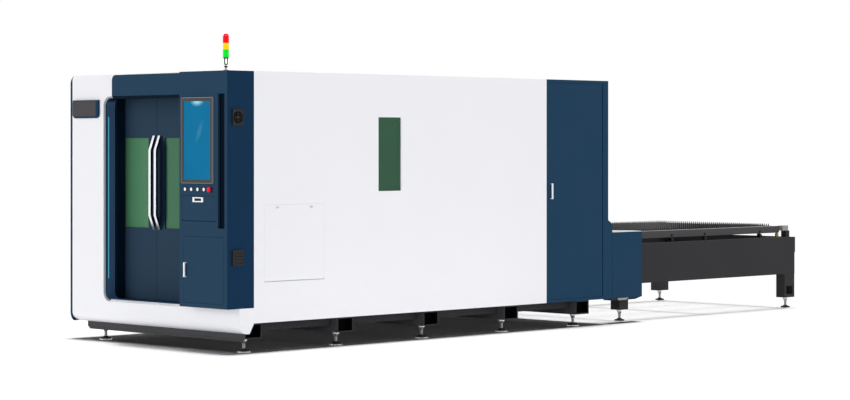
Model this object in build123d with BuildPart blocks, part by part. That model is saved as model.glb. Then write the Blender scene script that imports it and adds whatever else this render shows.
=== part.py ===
"""Enclosed laser cutting machine with an exchange table.

The datum is the navy front plane (along 0), the near side plane (across 0) and the floor (height 0).
The frame has +X along the machine from the operator's end to the table, and +Z up.
"""

import os

from build123d import *

os.makedirs("parts", exist_ok=True)

# Whole machine
enclosure_width = 2220.0
enclosure_top = 2250.0
panel_thickness = 30.0
sheet = 20.0
seam_gap = 2.0
fit_gap = 0.5
overrun = 5.0

# Lengths from the front to the back
cabinet_depth = 277.0
front_recess = 124.0
pillar_depth = 107.0
white_length = 3475.0
rear_length = 850.0
table_length = 3060.0

# Base and feet
foot_height = 112.0
tube_height = 125.0
tube_width = 182.0
tube_wall = 12.0
tube_setback = 170.0
tube_end_setback = 355.0
last_bay = 955.0
even_tubes = 4
base_beam_width = 80.0
base_beam_height = 67.0
foot_inset = 125.0
pad_radius = 52.0
pad_height = 26.0
pad_rim = 10.0
pad_neck_radius = 20.0
screw_radius = 15.0
nut_width = 46.0
nut_height = 20.0
nut_sides = 6

# Control cabinet, header and console
cabinet_width = 596.0
cabinet_bottom = 360.0
cabinet_edge_radius = 12.0
header_height = 182.0
header_drop = 9.0
header_share = 0.713
header_corner = 45.0
cabinet_rail = 35.0
cabinet_divider = 70.0
cabinet_door_height = 533.0
cabinet_door_width = 509.0
cabinet_stile = 41.0
niche_stile = 36.0
niche_slot = 81.0
bezel_width = 391.0
bezel_rise = 99.0
bezel_margin = 28.0
bezel_border = 30.0
bezel_proud = 12.0
bezel_corner = 6.0
bezel_side = 35.0
screen_sink = 4.0
button_radius = 14.0
button_proud = 6.0
button_tail = 8.0
button_drop = 48.0
button_pitch = 78.5
button_first = 76.0
button_ring = 4.0
button_ring_proud = 3.0
button_count = 4
stop_radius = 20.0
stop_head = 16.0
stop_proud = 26.0
stop_edge = 5.0
flap_height = 205.0
flap_width = 424.0
flap_rise = 51.0
flap_side = 35.0
latch_width = 130.0
latch_height = 39.0
latch_drop = 12.0
latch_shift = 13.0
latch_proud = 4.0
latch_slot_width = 86.0
latch_slot_height = 21.0
keyboard_thickness = 16.0
keyboard_margin = 24.0
pivot_radius = 4.0
pivot_length = 12.0
pull_height = 118.0
pull_width = 16.0
pull_proud = 22.0
pull_bar = 8.0
pull_drop = 211.0
pull_inset = 35.0

# Fan guard and vent cover on the cabinet's side
guard_width = 108.0
guard_height = 132.0
guard_depth = 14.0
guard_along = 100.0
guard_top = 305.0
guard_bore = 48.0
guard_ring = 5.0
guard_hub = 16.0
guard_spokes = 4
guard_spoke = 5.0
rotor_radius = 44.0
rotor_depth = 14.0
rotor_blades = 5
rotor_blade = 5.0
vent_height = 126.0
vent_rise = 341.0
vent_slats = 4
vent_slat = 8.0

# Tower light
tower_along = 92.0
tower_across = 127.0
tower_stem = 52.0
tower_stem_radius = 9.0
tower_foot = 8.0
tower_base = 54.0
tower_radius = 25.0
tower_base_radius = 19.0
lens_green_height = 64.0
lens_yellow_height = 51.0
lens_red_height = 62.0
lens_dome = 12.0

# White front with its door opening
skirt_bottom = 155.0
skirt_radius = 80.0
skirt_cut = 45.0
skirt_return = 8.0
pillar_width = 479.0
near_jamb = 124.0
jamb_return = 123.0
opening_radius = 65.0
opening_bevel = 18.0
edge_trim = 28.0
edge_trim_radius = 70.0
trim_wrap = 22.0
frame_depth = 87.0
frame_border = 25.0
frame_lip = 30.0
strip_width = 13.0
strip_proud = 4.0
strip_rise = 174.0
strip_drop = 172.0
strip_along = 33.0

# Sliding door leaves
leaf_gap = 4.0
leaf_thickness = 36.0
leaf_overlap = 40.0
leaf_drop = 20.0
leaf_lift = 12.0
window_stile = 108.0
window_outer_stile = 40.0
window_bottom = 963.0
window_drop = 349.0
window_corner = 5.0
glass = 8.0
grip_inset = 34.0
grip_width = 32.0
grip_bar = 18.0
grip_root = 48.0
grip_stand = 46.0
grip_bottom = 951.0
grip_over = 20.0
grip_slope = 120.0
rail_width = 20.0
rail_height = 30.0
rail_clear = 17.0
hanger_length = 70.0
hanger_inset = 60.0
hanger_wall = 6.0

# Near side: hatch and window
hatch_along = 108.0
hatch_length = 652.0
hatch_rise = 323.0
hatch_height = 621.0
lock_inset = 142.0
lock_drop = 24.0
lock_radius = 13.0
lock_proud = 6.0
lock_shaft = 7.0
lock_cam = 44.0
lock_cam_width = 14.0
lock_cam_thickness = 5.0
side_window_along = 1377.0
side_window_length = 266.0
side_window_rise = 1036.0
side_window_drop = 358.0

# Rear section
rear_post = 74.0
rear_sill = 25.0
flare_out = 56.0
flare_top = 728.0
flare_slope = 38.0
rear_pull_height = 140.0
rear_pull_inset = 59.0
rear_pull_rise = 910.0
passage_margin = 25.0
passage_bottom = 600.0
passage_height = 410.0
dome_radius = 48.0
dome_rise = 194.0
dome_across = 200.0
dome_collar = 14.0

# Exchange table
table_across = 125.0
table_far_margin = 345.0
beam_bottom = 350.0
beam_height = 373.0
beam_width = 50.0
beam_wall = 8.0
end_plate = 10.0
end_plate_height = 155.0
cross_height = 90.0
cross_width = 80.0
cross_count = 3
leg_length = 166.0
leg_width = 105.0
leg_inset = 13.0
leg_hole_length = 107.0
leg_hole_height = 83.0
leg_hole_rise = 32.0
leg_hole_depth = 80.0
dock_leg = 130.0
dock_leg_along = 302.0
track_width = 60.0
track_thickness = 20.0
track_reach = 40.0
post_length = 60.0
post_height = 64.0
post_setback = 30.0
stop_length = 95.0
stop_height = 52.0
stop_width = 55.0
stop_setback = 45.0
drive_length = 426.0
drive_height = 612.0
drive_gap = 3.0

# Pallet
pallet_overlap = 40.0
pallet_side_gap = 80.0
pallet_setback = 164.0
pallet_beam_width = 50.0
pallet_beam_height = 68.0
wheel_radius = 20.0
wheel_width = 20.0
wheel_lift = 4.0
axle_radius = 8.0
cheek_width = 14.0
cheek_length = 44.0
bearer_height = 23.0
bearer_width = 30.0
slat_thickness = 4.0
slat_pitch = 97.0
slat_end_gap = 75.0
slat_height = 70.0
tooth_height = 30.0
tooth_count = 18
slat_clear = 1.0
wheel_shares = (0.052, 0.446, 0.611, 0.898)
bearer_shares = (1 / 3, 2 / 3)

# Bed, gantry and cutting head
bed_front = 420.0
bed_box_width = 120.0
bed_box_outer = 60.0
bed_height = 643.0
bed_wall = 20.0
deck_thickness = 12.0
gantry_rail_width = 40.0
gantry_rail_height = 25.0
gantry_along = 1500.0
gantry_depth = 200.0
gantry_height = 240.0
gantry_wall = 16.0
saddle_length = 320.0
saddle_height = 54.0
saddle_clear = 0.5
saddle_lip = 20.0
carriage_depth = 100.0
carriage_width = 260.0
carriage_rise = 14.0
carriage_height = 360.0
head_width = 100.0
head_depth = 90.0
head_rise = 40.0
head_height = 420.0
head_taper = 70.0
nozzle_radius = 16.0
nozzle_tip_radius = 5.0
nozzle_height = 50.0

# Places worked out from the driving sizes
front_proud = stop_proud
side_proud = pull_proud
white_end = cabinet_depth + white_length
rear_end = white_end + rear_length
table_end = rear_end + table_length
front_x = front_proud - (front_proud + table_end) / 2
near_y = side_proud - (side_proud + enclosure_width) / 2
base_top = foot_height + tube_height
far_inner = enclosure_width - panel_thickness
roof_bottom = enclosure_top - panel_thickness
header_bottom = enclosure_top - header_height
front_far = enclosure_width - edge_trim
far_corner = edge_trim_radius - edge_trim
panel_back = front_recess + pillar_depth
opening_far = enclosure_width - pillar_width
opening_top = header_bottom - opening_bevel
cutout_near = cabinet_width + near_jamb
opening_near = cutout_near + jamb_return
opening_width = opening_far - opening_near
opening_middle = (opening_far + opening_near) / 2
leaf_front = panel_back + frame_depth + leaf_gap
leaf_back = leaf_front + leaf_thickness
leaf_bottom = cabinet_bottom - leaf_drop
leaf_top = header_bottom + leaf_lift
table_width = enclosure_width - table_across - table_far_margin
machine_middle = table_across + table_width / 2
pallet_width = table_width - 2 * pallet_side_gap
pallet_near = machine_middle - pallet_width / 2
pallet_far = machine_middle + pallet_width / 2
track_top = beam_bottom + beam_height
wheel_height = track_top + fit_gap + wheel_radius
pallet_bottom = wheel_height + wheel_radius + wheel_lift
pallet_length = table_length + pallet_overlap
pallet_end = table_end - pallet_setback
pallet_start = pallet_end - pallet_length
tube_length = enclosure_width - tube_setback
first_tube = cabinet_depth
last_tube = rear_end - tube_end_setback
tube_bay = (last_tube - last_bay - first_tube) / (even_tubes - 1)
tube_places = [first_tube + tube_bay * bay for bay in range(even_tubes)] + [last_tube]
bed_top = base_top + bed_height
rail_top = bed_top + gantry_rail_height
beam_rise = rail_top + saddle_clear + saddle_height
dock_leg_middle = rear_end + dock_leg_along + dock_leg / 2
end_leg_middle = table_end - leg_inset - leg_length / 2


def side_plane(across):
    """A plane along the machine: sketch x is along, sketch y is height, normal to the near side."""
    return Plane(origin=(front_x, near_y + across, 0), x_dir=(1, 0, 0), z_dir=(0, -1, 0))


def front_plane(along):
    """A plane across the machine: sketch x is across, sketch y is height, normal to the table."""
    return Plane(origin=(front_x + along, near_y, 0), x_dir=(0, 1, 0), z_dir=(1, 0, 0))


def floor_plane(height):
    """A level plane: sketch x is along, sketch y is across, normal upwards."""
    return Plane(origin=(front_x, near_y, height), x_dir=(1, 0, 0), z_dir=(0, 0, 1))


def area(low, high, mode=Mode.ADD):
    """A rectangle between two corners of the current sketch."""
    with Locations(((low[0] + high[0]) / 2, (low[1] + high[1]) / 2)):
        return Rectangle(high[0] - low[0], high[1] - low[1], mode=mode)


def rounded(low, high, radius, mode=Mode.ADD):
    """A rectangle with rounded corners between two corners of the current sketch."""
    with Locations(((low[0] + high[0]) / 2, (low[1] + high[1]) / 2)):
        return RectangleRounded(high[0] - low[0], high[1] - low[1], radius, mode=mode)


def outline(*points):
    """A closed face through the given corners of the current sketch."""
    return Polygon(*points, align=None)


def disc(place, radius, mode=Mode.ADD):
    """A round face at a place of the current sketch."""
    with Locations(place):
        return Circle(radius, mode=mode)


def save(piece, name):
    """Name a finished piece and write it out."""
    piece.part.label = name
    export_step(piece.part, f"parts/{name}.step")


# Base of open-ended cross tubes joined by two long beams
base_beam_places = (foot_inset - base_beam_width / 2, tube_length - foot_inset - base_beam_width / 2)
with BuildPart() as base_frame:
    for across in base_beam_places:
        with BuildSketch(front_plane(tube_places[0])):
            area((across, base_top - base_beam_height), (across + base_beam_width, base_top))
        extrude(amount=tube_places[-1] - tube_places[0])
    for along in tube_places:
        with BuildSketch(side_plane(skirt_return)):
            area((along - tube_width / 2, foot_height), (along + tube_width / 2, base_top))
            area(
                (along - tube_width / 2 + tube_wall, foot_height + tube_wall),
                (along + tube_width / 2 - tube_wall, base_top - tube_wall),
                mode=Mode.SUBTRACT,
            )
        extrude(amount=-tube_length)
save(base_frame, "base_frame")

# Levelling feet under the base and under the table's legs
foot_places = [
    (along, across) for along in tube_places for across in (foot_inset, tube_length - foot_inset)
]
leg_rows = (table_across + leg_width / 2, table_across + table_width - leg_width / 2)
foot_places += [(along, across) for along in (dock_leg_middle, end_leg_middle) for across in leg_rows]
foot_spots = [(front_x + along, near_y + across) for along, across in foot_places]

upright = (Align.CENTER, Align.CENTER, Align.MIN)
with BuildPart() as levelling_feet:
    with Locations(*[(x, y, 0) for x, y in foot_spots]):
        Cylinder(pad_radius, pad_rim, align=upright)
    with Locations(*[(x, y, pad_rim) for x, y in foot_spots]):
        Cone(pad_radius, pad_neck_radius, pad_height - pad_rim, align=upright)
    with Locations(*[(x, y, pad_height) for x, y in foot_spots]):
        Cylinder(screw_radius, foot_height - pad_height, align=upright)
    with BuildSketch(Plane.XY.offset(foot_height - nut_height)):
        with Locations(*foot_spots):
            RegularPolygon(nut_width / 2, nut_sides, major_radius=False)
    extrude(amount=nut_height)
save(levelling_feet, "levelling_feet")

# Machine bed: two box beams on a deck plate, each with a pallet track inside
bed_near = machine_middle - table_width / 2 - bed_box_outer
bed_far = machine_middle + table_width / 2 + bed_box_outer
track_near = table_across + beam_width
track_far = table_across + table_width - beam_width
bed_end = rear_end - panel_thickness - track_reach / 2
with BuildPart() as machine_bed:
    with BuildSketch(floor_plane(base_top)):
        area((cabinet_depth, panel_thickness), (rear_end - panel_thickness, far_inner))
    extrude(amount=deck_thickness)
    with BuildSketch(front_plane(bed_front)):
        for across in (bed_near, bed_far - bed_box_width):
            area((across, base_top), (across + bed_box_width, bed_top))
            area(
                (across + bed_wall, base_top + bed_wall),
                (across + bed_box_width - bed_wall, bed_top - bed_wall),
                mode=Mode.SUBTRACT,
            )
        area((track_near, track_top - track_thickness), (track_near + track_width, track_top))
        area((track_far - track_width, track_top - track_thickness), (track_far, track_top))
    extrude(amount=bed_end - bed_front)
save(machine_bed, "machine_bed")

# Ground rails: two for the gantry on the bed, and one between the side panels that the leaves hang from
rail_places = (bed_near + bed_box_width / 2, bed_far - bed_box_width / 2)
rail_along = (leaf_front + leaf_back) / 2
rail_low = leaf_top + rail_clear
with BuildPart() as guide_rails:
    with BuildSketch(front_plane(bed_front)):
        for across in rail_places:
            area(
                (across - gantry_rail_width / 2, bed_top),
                (across + gantry_rail_width / 2, rail_top),
            )
    extrude(amount=bed_end - bed_front)
    with BuildSketch(side_plane(panel_thickness)):
        area(
            (rail_along - rail_width / 2, rail_low),
            (rail_along + rail_width / 2, rail_low + rail_height),
        )
    extrude(amount=-(far_inner - panel_thickness))
save(guide_rails, "guide_rails")

# White side panels and roof
hatch_start = cabinet_depth + hatch_along
hatch_end = hatch_start + hatch_length
hatch_bottom = base_top + hatch_rise
hatch_top = hatch_bottom + hatch_height
hatch_axis = hatch_bottom + seam_gap + panel_thickness / 2
side_window_start = cabinet_depth + side_window_along
side_window_end = side_window_start + side_window_length
side_window_bottom = base_top + side_window_rise
side_window_top = enclosure_top - side_window_drop
with BuildPart() as near_side_panel:
    with BuildSketch(side_plane(0)):
        area((cabinet_depth, base_top), (white_end, enclosure_top))
        area((hatch_start, hatch_bottom), (hatch_end, hatch_top), mode=Mode.SUBTRACT)
        rounded(
            (side_window_start, side_window_bottom),
            (side_window_end, side_window_top),
            window_corner,
            mode=Mode.SUBTRACT,
        )
    extrude(amount=-panel_thickness)
    with BuildSketch(front_plane(hatch_start - pivot_length)):
        disc((panel_thickness / 2, hatch_axis), pivot_radius + fit_gap)
    extrude(amount=hatch_length + 2 * pivot_length, mode=Mode.SUBTRACT)
save(near_side_panel, "near_side_panel")

with BuildPart() as side_window:
    with BuildSketch(side_plane((panel_thickness - glass) / 2)):
        rounded(
            (side_window_start, side_window_bottom), (side_window_end, side_window_top), window_corner
        )
    extrude(amount=-glass)
save(side_window, "side_window")

with BuildPart() as far_side_panel:
    with BuildSketch(side_plane(far_inner)):
        area((cabinet_depth, base_top), (white_end, enclosure_top))
    extrude(amount=-panel_thickness)
save(far_side_panel, "far_side_panel")

with BuildPart() as roof_panel:
    with BuildSketch(floor_plane(roof_bottom)):
        area((cabinet_depth, panel_thickness), (white_end, far_inner))
    extrude(amount=panel_thickness)
    with BuildSketch(front_plane(panel_back)):
        area((cabinet_width, roof_bottom - edge_trim_radius), (front_far, enclosure_top))
        far_top = vertices().group_by(Axis.X)[-1].sort_by(Axis.Y)[-1]
        fillet(far_top, far_corner)
        area(
            (cabinet_width, roof_bottom - edge_trim_radius),
            (front_far - panel_thickness, roof_bottom),
            mode=Mode.SUBTRACT,
        )
    extrude(amount=cabinet_depth - panel_back)
save(roof_panel, "roof_panel")

# White front with the door opening, its skirt turned under at the bottom and round the near corner
with BuildPart() as front_panel:
    with BuildSketch(front_plane(front_recess)):
        outline(
            (0, skirt_bottom),
            (front_far, skirt_bottom),
            (front_far, enclosure_top),
            (cabinet_width, enclosure_top),
            (cabinet_width, cabinet_bottom),
            (0, cabinet_bottom),
        )
        rounded(
            (cutout_near, cabinet_bottom),
            (opening_far, opening_top),
            opening_radius,
            mode=Mode.SUBTRACT,
        )
    extrude(amount=pillar_depth)
    front_edges = faces().sort_by(Axis.X)[0].inner_wires()[0].edges()
    chamfer(front_edges, opening_bevel)
    bottom_edge = edges().filter_by(Axis.Y).group_by(Axis.Z)[0].sort_by(Axis.X)[0]
    fillet(bottom_edge, skirt_radius)
    with BuildSketch(front_plane(front_recess)):
        for height in (skirt_bottom, enclosure_top - far_corner):
            area((front_far - far_corner, height), (front_far, height + far_corner))
        for height in (skirt_bottom + far_corner, enclosure_top - far_corner):
            disc((front_far - far_corner, height), far_corner, mode=Mode.SUBTRACT)
    extrude(amount=pillar_depth, mode=Mode.SUBTRACT)
    with BuildSketch(side_plane(0)):
        outline(
            (panel_back, cabinet_bottom),
            (cabinet_depth, cabinet_bottom),
            (cabinet_depth, base_top),
            (cabinet_depth - skirt_cut, skirt_bottom),
            (panel_back, skirt_bottom),
        )
    extrude(amount=-skirt_return)
    with BuildSketch(side_plane(skirt_return)):
        area((first_tube - tube_width / 2, skirt_bottom), (cabinet_depth, base_top))
    extrude(amount=-(front_far - skirt_return), mode=Mode.SUBTRACT)
save(front_panel, "front_panel")

# Navy trim round the far end of the front
with BuildPart() as front_edge_trim:
    with BuildSketch(front_plane(front_recess)):
        area((front_far - edge_trim_radius, skirt_bottom), (enclosure_width, enclosure_top))
        fillet(vertices().group_by(Axis.X)[-1], edge_trim_radius)
    extrude(amount=cabinet_depth - front_recess)
    with BuildSketch(front_plane(front_recess)):
        area((front_far - 2 * edge_trim_radius, skirt_bottom), (front_far, enclosure_top))
        fillet(vertices().group_by(Axis.X)[-1], far_corner)
        area((front_far - 2 * edge_trim_radius, skirt_bottom), (front_far - trim_wrap, enclosure_top))
    extrude(amount=cabinet_depth - front_recess, mode=Mode.SUBTRACT)
save(front_edge_trim, "front_edge_trim")

# Dark inner frame between the white front and the sliding leaves
with BuildPart() as door_frame:
    with BuildSketch(front_plane(panel_back)):
        area(
            (cutout_near - frame_border, cabinet_bottom - frame_border),
            (opening_far + frame_border, header_bottom + frame_border),
        )
        rounded(
            (opening_near + frame_lip, cabinet_bottom),
            (opening_far - frame_lip, opening_top),
            opening_radius,
            mode=Mode.SUBTRACT,
        )
    extrude(amount=frame_depth)
save(door_frame, "door_frame")

with BuildPart() as light_strip:
    with BuildSketch(side_plane(opening_far - strip_proud)):
        area(
            (front_recess + strip_along, cabinet_bottom + strip_rise),
            (front_recess + strip_along + strip_width, header_bottom - strip_drop),
        )
    extrude(amount=-strip_proud)
save(light_strip, "light_strip")

# Control cabinet: a sheet shell with a door opening below and a console niche above
door_low = cabinet_bottom + cabinet_rail
door_high = door_low + cabinet_door_height
door_near = cabinet_stile
door_far = door_near + cabinet_door_width
niche_bottom = door_high + cabinet_divider
guard_place = (guard_along, enclosure_top - guard_top - guard_height / 2)
cabinet_axis = (sheet / 2, door_near + seam_gap + sheet / 2)
with BuildPart() as control_cabinet:
    with BuildSketch(floor_plane(cabinet_bottom)):
        area((0, 0), (cabinet_depth, cabinet_width))
        fillet(vertices().group_by(Axis.X)[0].sort_by(Axis.Y)[0], cabinet_edge_radius)
    extrude(amount=enclosure_top - cabinet_bottom)
    with BuildSketch(floor_plane(cabinet_bottom + sheet)):
        area((sheet, sheet), (cabinet_depth - sheet, cabinet_width - sheet))
    extrude(amount=enclosure_top - cabinet_bottom - 2 * sheet, mode=Mode.SUBTRACT)
    with BuildSketch(front_plane(0)):
        area((door_near, door_low), (door_far, door_high))
        area((niche_stile, niche_bottom), (cabinet_width - sheet, header_bottom))
    extrude(amount=sheet, mode=Mode.SUBTRACT)
    with BuildSketch(floor_plane(door_low - pivot_length)):
        disc(cabinet_axis, pivot_radius + fit_gap)
    extrude(amount=cabinet_door_height + 2 * pivot_length, mode=Mode.SUBTRACT)
    with BuildSketch(side_plane(0)):
        disc(guard_place, guard_bore)
    extrude(amount=-sheet, mode=Mode.SUBTRACT)
save(control_cabinet, "control_cabinet")

header_far = opening_near + header_share * opening_width
with BuildPart() as header_fascia:
    with BuildSketch(front_plane(0)):
        area((cabinet_width, header_bottom), (header_far, enclosure_top - header_drop))
        far_top = vertices().group_by(Axis.X)[-1].sort_by(Axis.Y)[-1]
        fillet(far_top, header_corner)
    extrude(amount=front_recess)
save(header_fascia, "header_fascia")

# Console panel with its screen, buttons and keyboard flap
console_near = niche_stile + niche_slot
console_far = cabinet_width - sheet
flap_far = cabinet_width - flap_side
flap_near = flap_far - flap_width
flap_bottom = niche_bottom + flap_rise
flap_top = flap_bottom + flap_height
flap_axis = flap_bottom + seam_gap + sheet / 2
bezel_far = cabinet_width - bezel_side
bezel_near = bezel_far - bezel_width
bezel_top = header_bottom - bezel_margin
bezel_bottom = flap_top + bezel_rise
button_height = bezel_bottom - button_drop
button_places = [cabinet_width - button_first - button_pitch * index for index in range(button_count)]
stop_place = cabinet_width - button_first - button_pitch * button_count
with BuildPart() as console_panel:
    with BuildSketch(front_plane(0)):
        area((console_near, niche_bottom), (console_far, header_bottom))
        area((flap_near, flap_bottom), (flap_far, flap_top), mode=Mode.SUBTRACT)
        for across in button_places + [stop_place]:
            disc((across, button_height), button_radius + fit_gap, mode=Mode.SUBTRACT)
    extrude(amount=sheet)
    with BuildSketch(side_plane(flap_near - pivot_length)):
        disc((sheet / 2, flap_axis), pivot_radius + fit_gap)
    extrude(amount=-(flap_width + 2 * pivot_length), mode=Mode.SUBTRACT)
save(console_panel, "console_panel")

with BuildPart() as screen_bezel:
    with BuildSketch(front_plane(-bezel_proud)):
        rounded((bezel_near, bezel_bottom), (bezel_far, bezel_top), bezel_corner)
        area(
            (bezel_near + bezel_border, bezel_bottom + bezel_border),
            (bezel_far - bezel_border, bezel_top - bezel_border),
            mode=Mode.SUBTRACT,
        )
    extrude(amount=bezel_proud)
save(screen_bezel, "screen_bezel")

with BuildPart() as screen:
    with BuildSketch(front_plane(screen_sink - bezel_proud)):
        area(
            (bezel_near + bezel_border, bezel_bottom + bezel_border),
            (bezel_far - bezel_border, bezel_top - bezel_border),
        )
    extrude(amount=bezel_proud - screen_sink)
save(screen, "screen")

with BuildPart() as button_rings:
    with BuildSketch(front_plane(-button_ring_proud)):
        for across in button_places:
            disc((across, button_height), button_radius + fit_gap + button_ring)
            disc((across, button_height), button_radius + fit_gap, mode=Mode.SUBTRACT)
    extrude(amount=button_ring_proud)
save(button_rings, "button_rings")

for index, across in enumerate(button_places):
    with BuildPart() as push_button:
        with BuildSketch(front_plane(-button_proud)):
            disc((across, button_height), button_radius)
        extrude(amount=button_proud + sheet + button_tail)
    save(push_button, f"push_button_{index + 1}")

with BuildPart() as stop_button:
    with BuildSketch(front_plane(-stop_proud)):
        disc((stop_place, button_height), stop_radius)
    extrude(amount=stop_head)
    fillet(edges().group_by(Axis.X)[0], stop_edge)
    with BuildSketch(front_plane(stop_head - stop_proud)):
        disc((stop_place, button_height), button_radius)
    extrude(amount=stop_proud - stop_head + sheet + button_tail)
save(stop_button, "stop_button")

with BuildPart() as keyboard_flap:
    with BuildSketch(side_plane(flap_near + seam_gap)):
        disc((sheet / 2, flap_axis), sheet / 2)
        area((0, flap_axis), (sheet, flap_top - seam_gap))
    extrude(amount=-(flap_width - 2 * seam_gap))
    with BuildSketch(side_plane(flap_near - pivot_length + fit_gap)):
        disc((sheet / 2, flap_axis), pivot_radius)
    extrude(amount=-(flap_width + 2 * pivot_length - 2 * fit_gap))
save(keyboard_flap, "keyboard_flap")

with BuildPart() as keyboard:
    with BuildSketch(front_plane(sheet)):
        area(
            (flap_near + keyboard_margin, flap_axis + keyboard_margin),
            (flap_far - keyboard_margin, flap_top - keyboard_margin),
        )
    extrude(amount=keyboard_thickness)
save(keyboard, "keyboard")

latch_middle = (flap_near + flap_far) / 2 + latch_shift
latch_top = flap_top - latch_drop
latch_slot = (latch_middle, latch_top - latch_height / 2)
with BuildPart() as flap_latch:
    with BuildSketch(front_plane(-latch_proud)):
        area(
            (latch_middle - latch_width / 2, latch_top - latch_height),
            (latch_middle + latch_width / 2, latch_top),
        )
        with Locations(latch_slot):
            Rectangle(latch_slot_width, latch_slot_height, mode=Mode.SUBTRACT)
    extrude(amount=latch_proud)
save(flap_latch, "flap_latch")

# Lower cabinet door on pivots at its near edge, with a pull
with BuildPart() as cabinet_door:
    with BuildSketch(floor_plane(door_low + seam_gap)):
        disc(cabinet_axis, sheet / 2)
        area((0, cabinet_axis[1]), (sheet, door_far - seam_gap))
    extrude(amount=cabinet_door_height - 2 * seam_gap)
    with BuildSketch(floor_plane(door_low - pivot_length + fit_gap)):
        disc(cabinet_axis, pivot_radius)
    extrude(amount=cabinet_door_height + 2 * pivot_length - 2 * fit_gap)
save(cabinet_door, "cabinet_door")


def pull_profile(stand_off, low, high):
    """A bracket-shaped pull seen from its side: a bar held off its panel by two ends."""
    area((-stand_off, low), (0, high))
    area((pull_bar - stand_off, low + pull_bar), (0, high - pull_bar), mode=Mode.SUBTRACT)


pull_top = door_high - pull_drop
with BuildPart() as cabinet_pull:
    with BuildSketch(side_plane(door_far - pull_inset - pull_width / 2)):
        pull_profile(pull_proud, pull_top - pull_height, pull_top)
    extrude(amount=-pull_width)
save(cabinet_pull, "cabinet_pull")

# Fan guard and louvred vent on the cabinet's near side, and the rotor behind the guard
guard_low = guard_place[1] - guard_height / 2
vent_low = cabinet_bottom + vent_rise
with BuildPart() as vent_covers:
    with BuildSketch(side_plane(0)):
        rounded(
            (guard_along - guard_width / 2, guard_low),
            (guard_along + guard_width / 2, guard_low + guard_height),
            guard_ring,
        )
        disc(guard_place, guard_bore, mode=Mode.SUBTRACT)
        disc(guard_place, guard_hub)
        disc(guard_place, (guard_bore + guard_hub + guard_ring) / 2)
        disc(guard_place, (guard_bore + guard_hub - guard_ring) / 2, mode=Mode.SUBTRACT)
        disc(guard_place, guard_hub)
        with Locations(guard_place):
            with PolarLocations(0, guard_spokes):
                Rectangle(guard_bore + overrun, guard_spoke, align=(Align.MIN, Align.CENTER))
    extrude(amount=guard_depth)
    with BuildSketch(side_plane(0)):
        rounded(
            (guard_along - guard_width / 2, vent_low),
            (guard_along + guard_width / 2, vent_low + vent_height),
            guard_ring,
        )
    extrude(amount=guard_depth)
    vent_pitch = vent_height / (vent_slats + 1)
    with BuildSketch(side_plane(-guard_depth)):
        with Locations((guard_along, vent_low + vent_height / 2)):
            with GridLocations(0, vent_pitch, 1, vent_slats):
                SlotOverall(guard_width - 2 * vent_slat, vent_slat)
    extrude(amount=-guard_depth / 2, mode=Mode.SUBTRACT)
save(vent_covers, "vent_covers")

with BuildPart() as fan_rotor:
    with BuildSketch(side_plane(fit_gap)):
        disc(guard_place, guard_hub)
        with Locations(guard_place):
            with PolarLocations(0, rotor_blades):
                Rectangle(rotor_radius, rotor_blade, align=(Align.MIN, Align.CENTER))
    extrude(amount=-rotor_depth)
save(fan_rotor, "fan_rotor")

# Tower light on the cabinet's roof
tower_spot = (tower_along, tower_across)
tower_base_bottom = enclosure_top + tower_stem
green_bottom = tower_base_bottom + tower_base
yellow_bottom = green_bottom + lens_green_height
red_bottom = yellow_bottom + lens_yellow_height
with BuildPart() as tower_mount:
    with BuildSketch(floor_plane(enclosure_top)):
        disc(tower_spot, tower_radius)
    extrude(amount=tower_foot)
    with BuildSketch(floor_plane(enclosure_top + tower_foot)):
        disc(tower_spot, tower_stem_radius)
    extrude(amount=tower_stem - tower_foot)
    with BuildSketch(floor_plane(tower_base_bottom)):
        disc(tower_spot, tower_base_radius)
    extrude(amount=tower_base)
save(tower_mount, "tower_mount")

lens_rows = (
    ("tower_lens_green", green_bottom, lens_green_height),
    ("tower_lens_yellow", yellow_bottom, lens_yellow_height),
    ("tower_lens_red", red_bottom, lens_red_height + lens_dome),
)
for name, height, rise in lens_rows:
    with BuildPart() as tower_lens:
        with BuildSketch(floor_plane(height)):
            disc(tower_spot, tower_radius)
        extrude(amount=rise)
        if name == "tower_lens_red":
            fillet(edges().group_by(Axis.Z)[-1], lens_dome)
    save(tower_lens, name)

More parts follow.
